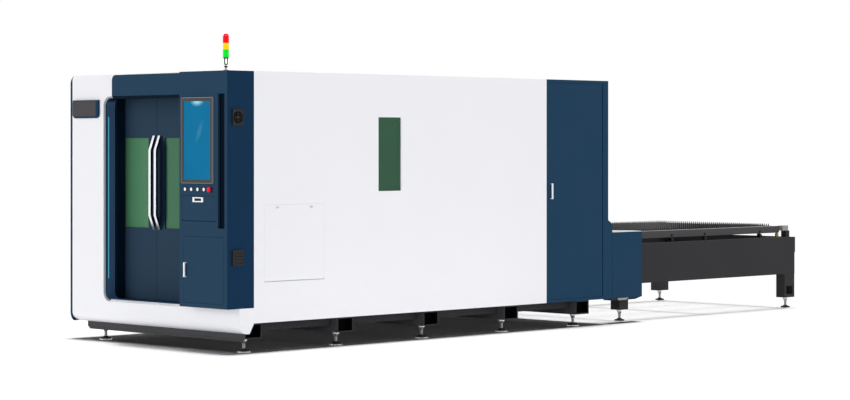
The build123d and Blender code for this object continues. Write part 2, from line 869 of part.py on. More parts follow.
# Sliding leaves, mirrored about the middle of the opening
leaf_width = opening_width / 2 + leaf_overlap - seam_gap / 2
window_top = header_bottom - window_drop
hanger_low = (rail_along - rail_width / 2 - fit_gap - hanger_wall, leaf_top)
hanger_high = (
    rail_along + rail_width / 2 + fit_gap + hanger_wall,
    rail_low + rail_height + fit_gap + hanger_wall,
)
for name, side in (("left", 1), ("right", -1)):
    meeting = opening_middle + side * seam_gap / 2
    outer = meeting + side * leaf_width
    pane = sorted((meeting + side * window_stile, outer - side * window_outer_stile))
    with BuildPart() as door_leaf:
        with BuildSketch(front_plane(leaf_front)):
            area((min(meeting, outer), leaf_bottom), (max(meeting, outer), leaf_top))
            rounded(
                (pane[0], window_bottom),
                (pane[1], window_top),
                window_corner,
                mode=Mode.SUBTRACT,
            )
        extrude(amount=leaf_thickness)
        for inset in (hanger_inset, leaf_width - hanger_inset):
            across = meeting + side * inset
            with BuildSketch(side_plane(across - hanger_length / 2)):
                area(hanger_low, hanger_high)
                area(
                    (rail_along - rail_width / 2 - fit_gap, rail_low - fit_gap),
                    (rail_along + rail_width / 2 + fit_gap, rail_low + rail_height + fit_gap),
                    mode=Mode.SUBTRACT,
                )
            extrude(amount=-hanger_length)
    save(door_leaf, f"door_leaf_{name}")

    with BuildPart() as door_window:
        with BuildSketch(front_plane((leaf_front + leaf_back - glass) / 2)):
            rounded((pane[0], window_bottom), (pane[1], window_top), window_corner)
        extrude(amount=glass)
    save(door_window, f"door_window_{name}")

    grip_top = window_top + grip_over
    grip_face = leaf_front - grip_stand
    grip_across = meeting + side * grip_inset
    with BuildPart() as door_grip:
        with BuildSketch(side_plane(grip_across - grip_width / 2)):
            outline(
                (leaf_front, grip_bottom),
                (grip_face, grip_bottom + grip_slope),
                (grip_face, grip_top - grip_slope),
                (leaf_front, grip_top),
                (leaf_front, grip_top - grip_root),
                (grip_face + grip_bar, grip_top - grip_slope - grip_bar / 2),
                (grip_face + grip_bar, grip_bottom + grip_slope + grip_bar / 2),
                (leaf_front, grip_bottom + grip_root),
            )
        extrude(amount=-grip_width)
    save(door_grip, f"door_grip_{name}")

# Side hatch on pivots at its lower edge, with two quarter-turn locks
with BuildPart() as side_hatch:
    with BuildSketch(front_plane(hatch_start + seam_gap)):
        disc((panel_thickness / 2, hatch_axis), panel_thickness / 2)
        area((0, hatch_axis), (panel_thickness, hatch_top - seam_gap))
    extrude(amount=hatch_length - 2 * seam_gap)
    with BuildSketch(front_plane(hatch_start - pivot_length + fit_gap)):
        disc((panel_thickness / 2, hatch_axis), pivot_radius)
    extrude(amount=hatch_length + 2 * pivot_length - 2 * fit_gap)
    with BuildSketch(side_plane(0)):
        for along in (hatch_start + lock_inset, hatch_end - lock_inset):
            disc((along, hatch_top - lock_drop), lock_shaft + fit_gap)
    extrude(amount=-panel_thickness, mode=Mode.SUBTRACT)
save(side_hatch, "side_hatch")

for index, along in enumerate((hatch_start + lock_inset, hatch_end - lock_inset)):
    lock_place = (along, hatch_top - lock_drop)
    with BuildPart() as hatch_lock:
        with BuildSketch(side_plane(-fit_gap)):
            disc(lock_place, lock_radius)
        extrude(amount=lock_proud)
        with BuildSketch(side_plane(-fit_gap)):
            disc(lock_place, lock_shaft)
        extrude(amount=-(panel_thickness + seam_gap + fit_gap))
        with BuildSketch(side_plane(panel_thickness + seam_gap)):
            area(
                (along - lock_cam_width / 2, lock_place[1] - lock_cam_width / 2),
                (along - lock_cam_width / 2 + lock_cam, lock_place[1] + lock_cam_width / 2),
            )
        extrude(amount=-lock_cam_thickness)
    save(hatch_lock, f"hatch_lock_{index + 1}")

# Navy rear section: roof, far wall, and the near door surround with its flared post
rear_door_end = rear_end - rear_post
flare_height = base_top + flare_top
rear_axis = (rear_door_end - seam_gap - panel_thickness / 2, panel_thickness / 2)
with BuildPart() as rear_shell:
    with BuildSketch(front_plane(white_end)):
        area((panel_thickness, roof_bottom), (enclosure_width, enclosure_top))
        area((far_inner, base_top), (enclosure_width, enclosure_top))
    extrude(amount=rear_length)
    with BuildSketch(side_plane(0)):
        outline(
            (white_end, base_top),
            (rear_end + flare_out, base_top),
            (rear_end + flare_out, flare_height - flare_slope),
            (rear_end, flare_height),
            (rear_end, enclosure_top),
            (white_end, enclosure_top),
        )
        area(
            (white_end, base_top + rear_sill), (rear_door_end, roof_bottom), mode=Mode.SUBTRACT
        )
    extrude(amount=-panel_thickness)
    with BuildSketch(floor_plane(base_top + rear_sill - pivot_length)):
        disc(rear_axis, pivot_radius + fit_gap)
    extrude(amount=roof_bottom - base_top - rear_sill + 2 * pivot_length, mode=Mode.SUBTRACT)
save(rear_shell, "rear_shell")

with BuildPart() as rear_end_wall:
    with BuildSketch(front_plane(rear_end - panel_thickness)):
        area((panel_thickness, base_top), (far_inner, roof_bottom))
        area(
            (table_across + passage_margin, passage_bottom),
            (table_across + table_width - passage_margin, passage_bottom + passage_height),
            mode=Mode.SUBTRACT,
        )
    extrude(amount=panel_thickness)
save(rear_end_wall, "rear_end_wall")

with BuildPart() as dome_camera:
    dome_spot = (dome_across, enclosure_top - dome_rise)
    with BuildSketch(front_plane(rear_end)):
        disc(dome_spot, dome_radius)
    extrude(amount=dome_collar)
    with Locations((front_x + rear_end + dome_collar, near_y + dome_spot[0], dome_spot[1])):
        Sphere(dome_radius - dome_collar / 2)
    with BuildSketch(front_plane(rear_end)):
        disc(dome_spot, dome_radius + overrun)
    extrude(amount=-dome_radius, mode=Mode.SUBTRACT)
save(dome_camera, "dome_camera")

with BuildPart() as rear_door:
    with BuildSketch(floor_plane(base_top + rear_sill + seam_gap)):
        disc(rear_axis, panel_thickness / 2)
        area((white_end + seam_gap, 0), (rear_axis[0], panel_thickness))
    extrude(amount=roof_bottom - base_top - rear_sill - 2 * seam_gap)
    with BuildSketch(floor_plane(base_top + rear_sill - pivot_length + fit_gap)):
        disc(rear_axis, pivot_radius)
    extrude(amount=roof_bottom - base_top - rear_sill + 2 * pivot_length - 2 * fit_gap)
save(rear_door, "rear_door")

rear_pull_low = base_top + rear_sill + rear_pull_rise
with BuildPart() as rear_pull:
    with BuildSketch(front_plane(white_end + rear_pull_inset - pull_width / 2)):
        pull_profile(pull_proud, rear_pull_low, rear_pull_low + rear_pull_height)
    extrude(amount=pull_width)
save(rear_pull, "rear_pull")

# Exchange table: hollow side beams, cross tubes, end plate, legs and pallet tracks
table_far = table_across + table_width
track_start = bed_end + seam_gap
with BuildPart() as table_frame:
    with BuildSketch(front_plane(rear_end)):
        for across in (table_across, table_far - beam_width):
            area((across, beam_bottom), (across + beam_width, track_top))
            area(
                (across + beam_wall, beam_bottom + beam_wall),
                (across + beam_width - beam_wall, track_top - beam_wall),
                mode=Mode.SUBTRACT,
            )
    extrude(amount=table_length - end_plate)
    with BuildSketch(front_plane(table_end - end_plate)):
        area((table_across, track_top - end_plate_height), (table_far, track_top))
    extrude(amount=end_plate)
    with BuildSketch(front_plane(table_end - end_plate)):
        for across in (table_across, table_far - beam_width):
            area((across, beam_bottom), (across + beam_width, track_top))
    extrude(amount=-beam_wall)
    with BuildSketch(front_plane(track_start)):
        area((track_near, track_top - track_thickness), (track_near + track_width, track_top))
        area((track_far - track_width, track_top - track_thickness), (track_far, track_top))
    extrude(amount=table_end - end_plate - track_start)
    for index in range(cross_count):
        along = dock_leg_middle + (end_leg_middle - dock_leg_middle) * index / (cross_count - 1)
        with BuildSketch(side_plane(table_across + beam_width)):
            area(
                (along - cross_width / 2, beam_bottom),
                (along + cross_width / 2, beam_bottom + cross_height),
            )
        extrude(amount=-(table_width - 2 * beam_width))
    for across in (table_across, table_far - leg_width):
        with BuildSketch(side_plane(across)):
            area(
                (dock_leg_middle - dock_leg / 2, foot_height),
                (dock_leg_middle + dock_leg / 2, beam_bottom),
            )
            area(
                (end_leg_middle - leg_length / 2, foot_height),
                (end_leg_middle + leg_length / 2, beam_bottom),
            )
        extrude(amount=-leg_width)
    for across, inward in ((table_across, -leg_hole_depth), (table_far, leg_hole_depth)):
        with BuildSketch(side_plane(across)):
            area(
                (end_leg_middle - leg_hole_length / 2, foot_height + leg_hole_rise),
                (end_leg_middle + leg_hole_length / 2, foot_height + leg_hole_rise + leg_hole_height),
            )
        extrude(amount=inward, mode=Mode.SUBTRACT)
    for across in (track_near, track_far - track_width):
        with BuildSketch(floor_plane(track_top)):
            area(
                (table_end - post_setback - post_length, across),
                (table_end - post_setback, across + track_width),
            )
        extrude(amount=post_height)
save(table_frame, "table_frame")

with BuildPart() as end_stops:
    stop_back = table_end - stop_setback
    with BuildSketch(floor_plane(track_top + post_height)):
        for across in (track_near + track_width / 2, track_far - track_width / 2):
            area((stop_back - stop_length, across - stop_width / 2), (stop_back, across + stop_width / 2))
    extrude(amount=stop_height)
save(end_stops, "end_stops")

with BuildPart() as drive_box:
    drive_start = rear_end + flare_out + drive_gap
    with BuildSketch(side_plane(0)):
        area((drive_start, base_top), (drive_start + drive_length, base_top + drive_height))
    extrude(amount=-table_across)
save(drive_box, "drive_box")

# Pallet frame with wheel brackets and axle stubs
wheel_places = [pallet_start + share * pallet_length for share in wheel_shares]
wheel_near = track_near + (track_width - wheel_width) / 2
wheel_far = track_far - (track_width + wheel_width) / 2
bearer_places = [pallet_near + pallet_width * share for share in bearer_shares]
with BuildPart() as pallet_frame:
    with BuildSketch(floor_plane(pallet_bottom)):
        area((pallet_start, pallet_near), (pallet_end, pallet_far))
        area(
            (pallet_start + pallet_beam_width, pallet_near + pallet_beam_width),
            (pallet_end - pallet_beam_width, pallet_far - pallet_beam_width),
            mode=Mode.SUBTRACT,
        )
    extrude(amount=pallet_beam_height)
    with BuildSketch(floor_plane(pallet_bottom)):
        for across in bearer_places:
            area((pallet_start, across - bearer_width / 2), (pallet_end, across + bearer_width / 2))
    extrude(amount=bearer_height)
    for across in (wheel_near + wheel_width + fit_gap, wheel_far - fit_gap - cheek_width):
        with BuildSketch(side_plane(across)):
            for along in wheel_places:
                area(
                    (along - cheek_length / 2, wheel_height - axle_radius),
                    (along + cheek_length / 2, pallet_bottom),
                )
        extrude(amount=-cheek_width)
    for across in (wheel_near, wheel_far):
        with BuildSketch(side_plane(across - fit_gap)):
            for along in wheel_places:
                disc((along, wheel_height), axle_radius)
        extrude(amount=-(wheel_width + 2 * fit_gap))
save(pallet_frame, "pallet_frame")

for index, along in enumerate(wheel_places):
    with BuildPart() as pallet_wheels:
        for across in (wheel_near, wheel_far):
            with BuildSketch(side_plane(across)):
                disc((along, wheel_height), wheel_radius)
                disc((along, wheel_height), axle_radius + fit_gap, mode=Mode.SUBTRACT)
            extrude(amount=-wheel_width)
    save(pallet_wheels, f"pallet_wheels_{index + 1}")

# Saw-tooth slats standing across the pallet on its bearers
slat_near = pallet_near + pallet_beam_width + slat_clear
slat_length = pallet_width - 2 * pallet_beam_width - 2 * slat_clear
slat_bottom = pallet_bottom + bearer_height
slat_top = slat_bottom + slat_height
tooth_pitch = slat_length / tooth_count
slat_count = 1 + int((pallet_length - 2 * slat_end_gap) / slat_pitch)
first_slat = (pallet_start + pallet_end) / 2 - slat_pitch * (slat_count - 1) / 2
slat_places = [first_slat + slat_pitch * index for index in range(slat_count)]
tooth_line = [(slat_near, slat_top - tooth_height)]
for tooth in range(tooth_count):
    tooth_line.append((slat_near + tooth_pitch * (tooth + 1 / 2), slat_top))
    tooth_line.append((slat_near + tooth_pitch * (tooth + 1), slat_top - tooth_height))
with BuildPart() as pallet_slats:
    with BuildSketch(*[front_plane(along) for along in slat_places]):
        outline(*tooth_line, (slat_near + slat_length, slat_bottom), (slat_near, slat_bottom))
    extrude(amount=slat_thickness)
save(pallet_slats, "pallet_slats")

# Gantry on its two rails
beam_low = beam_rise
beam_high = beam_rise + gantry_height
gantry_end = gantry_along + gantry_depth
saddle_start = gantry_along + gantry_depth / 2 - saddle_length / 2
with BuildPart() as gantry_beam:
    with BuildSketch(side_plane(bed_near)):
        area((gantry_along, beam_low), (gantry_end, beam_high))
        area(
            (gantry_along + gantry_wall, beam_low + gantry_wall),
            (gantry_end - gantry_wall, beam_high - gantry_wall),
            mode=Mode.SUBTRACT,
        )
    extrude(amount=-(bed_far - bed_near))
    for across in rail_places:
        with BuildSketch(front_plane(saddle_start)):
            area(
                (across - bed_box_width / 2, rail_top - saddle_lip + saddle_clear),
                (across + bed_box_width / 2, beam_low),
            )
            area(
                (across - gantry_rail_width / 2 - saddle_clear, bed_top),
                (across + gantry_rail_width / 2 + saddle_clear, rail_top + saddle_clear),
                mode=Mode.SUBTRACT,
            )
        extrude(amount=saddle_length)
save(gantry_beam, "gantry_beam")

carriage_low = beam_low + carriage_rise
carriage_front = gantry_along - fit_gap - carriage_depth
with BuildPart() as head_carriage:
    with BuildSketch(front_plane(carriage_front)):
        area(
            (machine_middle - carriage_width / 2, carriage_low),
            (machine_middle + carriage_width / 2, carriage_low + carriage_height),
        )
    extrude(amount=carriage_depth)
    fillet(edges().filter_by(Axis.Z).group_by(Axis.X)[0], sheet)
save(head_carriage, "head_carriage")

head_low = carriage_low + head_rise
head_middle = carriage_front - fit_gap - head_depth / 2
with BuildPart() as cutting_head:
    with BuildSketch(floor_plane(head_low)):
        with Locations((head_middle, machine_middle)):
            RectangleRounded(head_depth, head_width, sheet / 2)
    extrude(amount=head_height)
    with BuildSketch(floor_plane(head_low)):
        with Locations((head_middle, machine_middle)):
            Circle(head_depth / 2 - fit_gap)
    with BuildSketch(floor_plane(head_low - head_taper)):
        with Locations((head_middle, machine_middle)):
            Circle(nozzle_radius)
    loft()
    with BuildSketch(floor_plane(head_low - head_taper)):
        disc((head_middle, machine_middle), nozzle_radius)
    with BuildSketch(floor_plane(head_low - head_taper - nozzle_height)):
        disc((head_middle, machine_middle), nozzle_tip_radius)
    loft()
save(cutting_head, "cutting_head")
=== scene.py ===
"""Looks of the enclosed laser cutting machine: finishes on its solids, and the pieces that ride on them."""
import math

import bmesh
import bpy
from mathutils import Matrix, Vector


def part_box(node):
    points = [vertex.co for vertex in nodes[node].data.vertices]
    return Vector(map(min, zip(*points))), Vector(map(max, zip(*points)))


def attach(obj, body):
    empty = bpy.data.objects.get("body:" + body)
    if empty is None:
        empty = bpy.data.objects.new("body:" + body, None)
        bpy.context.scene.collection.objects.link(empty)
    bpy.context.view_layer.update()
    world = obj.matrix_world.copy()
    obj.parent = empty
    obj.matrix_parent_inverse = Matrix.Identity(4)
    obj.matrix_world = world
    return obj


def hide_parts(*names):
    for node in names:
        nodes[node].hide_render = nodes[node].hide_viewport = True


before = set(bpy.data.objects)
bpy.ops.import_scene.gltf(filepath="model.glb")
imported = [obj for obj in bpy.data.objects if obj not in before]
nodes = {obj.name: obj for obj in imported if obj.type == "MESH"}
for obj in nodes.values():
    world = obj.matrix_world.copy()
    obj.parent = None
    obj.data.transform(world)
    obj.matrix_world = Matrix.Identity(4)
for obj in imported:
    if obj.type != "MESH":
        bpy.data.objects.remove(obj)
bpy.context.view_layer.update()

MM = 0.001

# Datum: the navy front plane, the near side plane and the floor, as in the part's source
front_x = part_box("control_cabinet")[0].x
near_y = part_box("near_side_panel")[0].y


def at(along, across, height):
    """A point in millimetres from the datum, as metres in the frame."""
    return Vector((front_x + along * MM, near_y + across * MM, height * MM))


def from_datum(point):
    """A point of the frame, as along, across and height in millimetres from the datum."""
    return ((point.x - front_x) / MM, (point.y - near_y) / MM, point.z / MM)


def on_front(across, height, along):
    """Sketch axes of a plane across the machine: across, height, then depth along."""
    return at(along, across, height)


def on_side(along, height, across):
    """Sketch axes of a plane along the machine: along, height, then depth across."""
    return at(along, across, height)


def on_floor(along, across, height):
    """Sketch axes of a level plane: along, across, then height."""
    return at(along, across, height)


# Mesh helpers

sharp_angle = 35
bevel_angle = 40
bevel_segments = 2
normal_weight = 90


def grown(low, high, width):
    """Two corners of a rectangle, each moved outwards by a width."""
    return (low[0] - width, low[1] - width), (high[0] + width, high[1] + width)


def box_outline(low, high):
    """The corners of a rectangle."""
    return [(low[0], low[1]), (high[0], low[1]), (high[0], high[1]), (low[0], high[1])]


def round_outline(low, high, radius, steps=8):
    """The outline of a rectangle with rounded corners, from its right lower corner round to its left."""
    left, right = low[0] + radius, high[0] - radius
    bottom, top = low[1] + radius, high[1] - radius
    points = []
    for a, b, start in ((right, bottom, -90), (right, top, 0), (left, top, 90), (left, bottom, 180)):
        for step in range(steps + 1):
            angle = math.radians(start + 90 * step / steps)
            points.append((a + radius * math.cos(angle), b + radius * math.sin(angle)))
    return points


def disc_outline(centre, radius, corners, turn=0.0):
    """The corners of a regular polygon."""
    angles = [math.radians(turn + 360 * corner / corners) for corner in range(corners)]
    return [(centre[0] + radius * math.cos(a), centre[1] + radius * math.sin(a)) for a in angles]


def swept(bm, place, rows, closed=False):
    """A skin through outlines of equal length, each at its depth; capped at its ends, or joined to a ring."""
    loops = [[bm.verts.new(place(a, b, depth)) for a, b in points] for points, depth in rows]
    pairs = list(zip(loops, loops[1:]))
    if closed:
        pairs.append((loops[-1], loops[0]))
    else:
        bm.faces.new(loops[0])
        bm.faces.new(loops[-1])
    for first, second in pairs:
        for index in range(len(first)):
            after = (index + 1) % len(first)
            bm.faces.new((first[index], first[after], second[after], second[index]))


def ribbon(bm, place, rows):
    """A closed skin round an open path: rows of equal paths make its section, and its two ends are capped."""
    lines = [[bm.verts.new(place(a, b, depth)) for a, b in points] for points, depth in rows]
    for first, second in zip(lines, lines[1:] + lines[:1]):
        for index in range(len(first) - 1):
            bm.faces.new((first[index], first[index + 1], second[index + 1], second[index]))
    bm.faces.new([line[0] for line in lines])
    bm.faces.new([line[-1] for line in lines])


def prism(bm, place, points, low, high):
    """A straight-sided solid: an outline between two depths."""
    swept(bm, place, [(points, low), (points, high)])


def block(bm, low, high):
    """A rectangular solid between two corners, each along, across and height."""
    prism(bm, on_floor, box_outline(low[:2], high[:2]), low[2], high[2])


def turned(bm, place, centre, rows, corners=32, turn=0.0):
    """A turned or many-sided solid about a centre, from rows of radius and depth."""
    swept(bm, place, [(disc_outline(centre, radius, corners, turn), depth) for radius, depth in rows])


def soften(obj, width):
    """Round the sharp edges of an object by a width in millimetres, and shade it so."""
    bevel = obj.modifiers.new("soft_edges", "BEVEL")
    bevel.width = width * MM
    bevel.segments = bevel_segments
    bevel.limit_method = "ANGLE"
    bevel.angle_limit = math.radians(bevel_angle)
    normals = obj.modifiers.new("even_normals", "WEIGHTED_NORMAL")
    normals.weight = normal_weight


def piece(name, bm, material, body, edge=0.0, replaces=()):
    """Turn a mesh into a piece that rides on a body, with its finish and softened edges."""
    bmesh.ops.recalc_face_normals(bm, faces=bm.faces)
    mesh = bpy.data.meshes.new(name)
    bm.to_mesh(mesh)
    bm.free()
    mesh.materials.append(material)
    mesh.polygons.foreach_set("use_smooth", [True] * len(mesh.polygons))
    mesh.set_sharp_from_angle(angle=math.radians(sharp_angle))
    obj = bpy.data.objects.new(name, mesh)
    bpy.context.scene.collection.objects.link(obj)
    if edge:
        soften(obj, edge)
    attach(obj, body)
    if replaces:
        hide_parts(*replaces)
    return obj


# Shader helpers

noise_low, noise_high = 0.3, 0.7
lean_start, lean_end = 0.15, 0.3


def tone(red, green, blue):
    """A colour as it shows on a screen (sRGB, 0 to 255), as shader values."""
    shares = [value / 255 for value in (red, green, blue)]
    return tuple(s / 12.92 if s <= 0.04045 else ((s + 0.055) / 1.055) ** 2.4 for s in shares)


def new_material(name):
    """A material with its principled shader, its tree and its shader node."""
    material = bpy.data.materials.new(name)
    material.use_nodes = True
    tree = material.node_tree
    return material, tree, tree.nodes["Principled BSDF"]


def mapped(tree, vector, **settings):
    """A vector through a mapping node with some of its inputs set."""
    mapping = tree.nodes.new("ShaderNodeMapping")
    for name, value in settings.items():
        mapping.inputs[name].default_value = value
    tree.links.new(vector, mapping.inputs["Vector"])
    return mapping


def noise(tree, scale, detail=2.0, stretch=(1, 1, 1)):
    """Noise in the frame's own coordinates, stretched along an axis where the finish is brushed."""
    place = tree.nodes.new("ShaderNodeTexCoord")
    mapping = mapped(tree, place.outputs["Object"], Scale=stretch)
    texture = tree.nodes.new("ShaderNodeTexNoise")
    texture.inputs["Scale"].default_value = scale
    texture.inputs["Detail"].default_value = detail
    tree.links.new(mapping.outputs["Vector"], texture.inputs["Vector"])
    return texture.outputs["Fac"]


def spread(tree, factor, low, high):
    """The middle part of a noise, mapped to a range."""
    remap = tree.nodes.new("ShaderNodeMapRange")
    remap.inputs["From Min"].default_value = noise_low
    remap.inputs["From Max"].default_value = noise_high
    remap.inputs["To Min"].default_value = low
    remap.inputs["To Max"].default_value = high
    tree.links.new(factor, remap.inputs["Value"])
    return remap.outputs["Result"]


def tinted(tree, factor, colour, variation):
    """A colour that drifts a little lighter and darker with a factor."""
    mix = tree.nodes.new("ShaderNodeMix")
    mix.data_type = "RGBA"
    mix.inputs["A"].default_value = (*[c * (1 - variation) for c in colour], 1)
    mix.inputs["B"].default_value = (*[min(1, c * (1 + variation)) for c in colour], 1)
    tree.links.new(factor, mix.inputs["Factor"])
    return mix.outputs["Result"]


def blended(tree, factor, first, second):
    """Two colours mixed by a factor."""
    mix = tree.nodes.new("ShaderNodeMix")
    mix.data_type = "RGBA"
    tree.links.new(factor, mix.inputs["Factor"])
    tree.links.new(first, mix.inputs["A"])
    tree.links.new(second, mix.inputs["B"])
    return mix.outputs["Result"]


def two_toned(tree, factor, colour, variation, second):
    """A drifting colour, and where second is given (colour, rule, value) another where the rule holds."""
    first = tinted(tree, factor, colour, variation)
    if not second:
        return first
    other_colour, where, value = second
    return blended(tree, where(tree, value), first, tinted(tree, factor, other_colour, variation))


def relief(tree, shader, height, strength, distance):
    """A bump on the shader from a height."""
    bump = tree.nodes.new("ShaderNodeBump")
    bump.inputs["Strength"].default_value = strength
    bump.inputs["Distance"].default_value = distance
    tree.links.new(height, bump.inputs["Height"])
    tree.links.new(bump.outputs["Normal"], shader.inputs["Normal"])


def facing(tree, direction, start=0.4, end=0.9):
    """A factor that is 1 on faces that look along a direction, and 0 on those that look away from it."""
    geometry = tree.nodes.new("ShaderNodeNewGeometry")
    dot = tree.nodes.new("ShaderNodeVectorMath")
    dot.operation = "DOT_PRODUCT"
    dot.inputs[1].default_value = direction
    tree.links.new(geometry.outputs["Normal"], dot.inputs[0])
    fade = tree.nodes.new("ShaderNodeMapRange")
    fade.inputs["From Min"].default_value = start
    fade.inputs["From Max"].default_value = end
    tree.links.new(dot.outputs["Value"], fade.inputs["Value"])
    return fade.outputs["Result"]


def leaning(tree, direction):
    """A factor that is 1 on faces that lean a little towards a direction."""
    return facing(tree, direction, lean_start, lean_end)


def under(tree, height):
    """A factor that is 1 below a height in millimetres."""
    place = tree.nodes.new("ShaderNodeTexCoord")
    parts = tree.nodes.new("ShaderNodeSeparateXYZ")
    below = tree.nodes.new("ShaderNodeMath")
    below.operation = "LESS_THAN"
    below.inputs[1].default_value = height * MM
    tree.links.new(place.outputs["Object"], parts.inputs["Vector"])
    tree.links.new(parts.outputs["Z"], below.inputs[0])
    return below.outputs["Value"]


def powder_coat(name, colour, roughness=0.45, specular=0.3, variation=0.03, peel=0.06, second=None):
    """Sprayed and baked paint: a faint drift of tone and a fine orange peel."""
    material, tree, shader = new_material(name)
    drift = noise(tree, scale=1.7)
    grain = noise(tree, scale=420.0)
    paint = two_toned(tree, drift, colour, variation, second)
    tree.links.new(paint, shader.inputs["Base Color"])
    tree.links.new(spread(tree, drift, roughness - 0.05, roughness + 0.05), shader.inputs["Roughness"])
    shader.inputs["Specular IOR Level"].default_value = specular
    relief(tree, shader, grain, strength=peel, distance=0.0004)
    return material


def bare_metal(name, colour, roughness, stretch, scale, variation=0.12, second=None):
    """Ground, brushed or plated metal with streaks along its grain."""
    material, tree, shader = new_material(name)
    streak = noise(tree, scale, detail=4.0, stretch=stretch)
    shader.inputs["Metallic"].default_value = 1.0
    metal = two_toned(tree, streak, colour, variation, second)
    tree.links.new(metal, shader.inputs["Base Color"])
    tree.links.new(spread(tree, streak, roughness * 0.8, roughness * 1.25), shader.inputs["Roughness"])
    relief(tree, shader, streak, strength=0.05, distance=0.0003)
    return material


def moulded(name, colour, roughness=0.4, specular=0.5, texture=600.0, variation=0.05, second=None):
    """Moulded plastic with a fine spark-eroded texture."""
    material, tree, shader = new_material(name)
    grain = noise(tree, scale=texture)
    cloud = noise(tree, scale=12.0)
    plastic = two_toned(tree, cloud, colour, variation, second)
    tree.links.new(plastic, shader.inputs["Base Color"])
    tree.links.new(spread(tree, grain, roughness - 0.06, roughness + 0.06), shader.inputs["Roughness"])
    shader.inputs["Specular IOR Level"].default_value = specular
    relief(tree, shader, grain, strength=0.08, distance=0.0002)
    return material


def glowing(name, colour, glow, strength):
    """A lit plastic diffuser with a faint unevenness."""
    material, tree, shader = new_material(name)
    cloud = noise(tree, scale=9.0)
    tree.links.new(tinted(tree, cloud, colour, variation=0.06), shader.inputs["Base Color"])
    tree.links.new(tinted(tree, cloud, glow, variation=0.06), shader.inputs["Emission Color"])
    shader.inputs["Emission Strength"].default_value = strength
    shader.inputs["Roughness"].default_value = 0.3
    shader.inputs["Specular IOR Level"].default_value = 0.1
    return material


def safety_glass(name, colour):
    """Green filter glass for laser light, mostly opaque, with a faint drift of tone."""
    material, tree, shader = new_material(name)
    cloud = noise(tree, scale=2.5)
    tree.links.new(tinted(tree, cloud, colour, variation=0.05), shader.inputs["Base Color"])
    shader.inputs["Roughness"].default_value = 0.15
    shader.inputs["Specular IOR Level"].default_value = 0.06
    shader.inputs["Transmission Weight"].default_value = 0.15
    shader.inputs["IOR"].default_value = 1.45
    return material


# Screen: a lit blue field with painted highlights: a soft bright spot at its top and a slanted gleam

screen_off = (0.002, 0.01, 0.02, 1)
screen_field = (0.003, 0.158, 0.325)
screen_highlight = (0.45, 0.92, 1.0, 1)
spot_scale = (0, 1.2, 2.4)
spot_reach, spot_share = 0.115, 0.8
gleam_scale = (0, 3.4, 1)
gleam_slant = 24
gleam_aside, gleam_up = 0.028, 0.07
gleam_reach, gleam_share = 0.125, 0.075


def fading(tree, distance, reach, share):
    """A factor that falls smoothly from a share to nothing over a reach."""
    fade = tree.nodes.new("ShaderNodeMapRange")
    fade.interpolation_type = "SMOOTHSTEP"
    fade.inputs["From Min"].default_value = 0.0
    fade.inputs["From Max"].default_value = reach
    fade.inputs["To Min"].default_value = share
    fade.inputs["To Max"].default_value = 0.0
    tree.links.new(distance, fade.inputs["Value"])
    return fade.outputs["Result"]


def painted_spot_highlight(tree, place, middle, top):
    """A painted highlight: a soft spot round the middle of the screen's top edge."""
    flat = mapped(tree, place, Scale=spot_scale)
    distance = tree.nodes.new("ShaderNodeVectorMath")
    distance.operation = "DISTANCE"
    distance.inputs[1].default_value = [m * s for m, s in zip((0, middle, top), spot_scale)]
    tree.links.new(flat.outputs["Vector"], distance.inputs[0])
    return fading(tree, distance.outputs["Value"], spot_reach, spot_share)


def painted_gleam_highlight(tree, place, across, height):
    """A painted highlight: a narrow gleam that leans over, about a point of the screen."""
    turn = (math.radians(gleam_slant), 0, 0)
    slant = mapped(tree, place, Location=(0, across, height), Rotation=turn)
    slant.vector_type = "TEXTURE"
    narrow = mapped(tree, slant.outputs["Vector"], Scale=gleam_scale)
    distance = tree.nodes.new("ShaderNodeVectorMath")
    distance.operation = "LENGTH"
    tree.links.new(narrow.outputs["Vector"], distance.inputs[0])
    return fading(tree, distance.outputs["Value"], gleam_reach, gleam_share)


def display(name):
    """The screen's finish, with its painted highlights."""
    material, tree, shader = new_material(name)
    low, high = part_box("screen")
    middle = (low.y + high.y) / 2
    place = tree.nodes.new("ShaderNodeTexCoord").outputs["Object"]
    spot = painted_spot_highlight(tree, place, middle, high.z)
    gleam = painted_gleam_highlight(tree, place, middle - gleam_aside, (low.z + high.z) / 2 + gleam_up)
    brightest = tree.nodes.new("ShaderNodeMath")
    brightest.operation = "MAXIMUM"
    tree.links.new(spot, brightest.inputs[0])
    tree.links.new(gleam, brightest.inputs[1])
    field = tinted(tree, noise(tree, scale=3.0), screen_field, variation=0.12)
    mix = tree.nodes.new("ShaderNodeMix")
    mix.data_type = "RGBA"
    mix.inputs["B"].default_value = screen_highlight
    tree.links.new(brightest.outputs["Value"], mix.inputs["Factor"])
    tree.links.new(field, mix.inputs["A"])
    tree.links.new(mix.outputs["Result"], shader.inputs["Emission Color"])
    shader.inputs["Base Color"].default_value = screen_off
    shader.inputs["Emission Strength"].default_value = 1.0
    shader.inputs["Roughness"].default_value = 0.2
    shader.inputs["Specular IOR Level"].default_value = 0.02
    return material


# Finishes

to_front = (-1, 0, 0)
to_near = (0, -1, 0)
downwards = (0, 0, -1)
navy = tone(36, 62, 84)
navy_flank_shade = tone(16, 46, 73)
navy_shade = tone(4, 22, 38)
front_lit_grey = tone(68, 68, 70)
shaded_grey = tone(24, 24, 26)
pallet_shade_top = 766
plating = (0.9, 0.9, 0.92)
plating_dark_reflection = (0.12, 0.12, 0.125)
signal_white = (0.85, 0.86, 0.88)

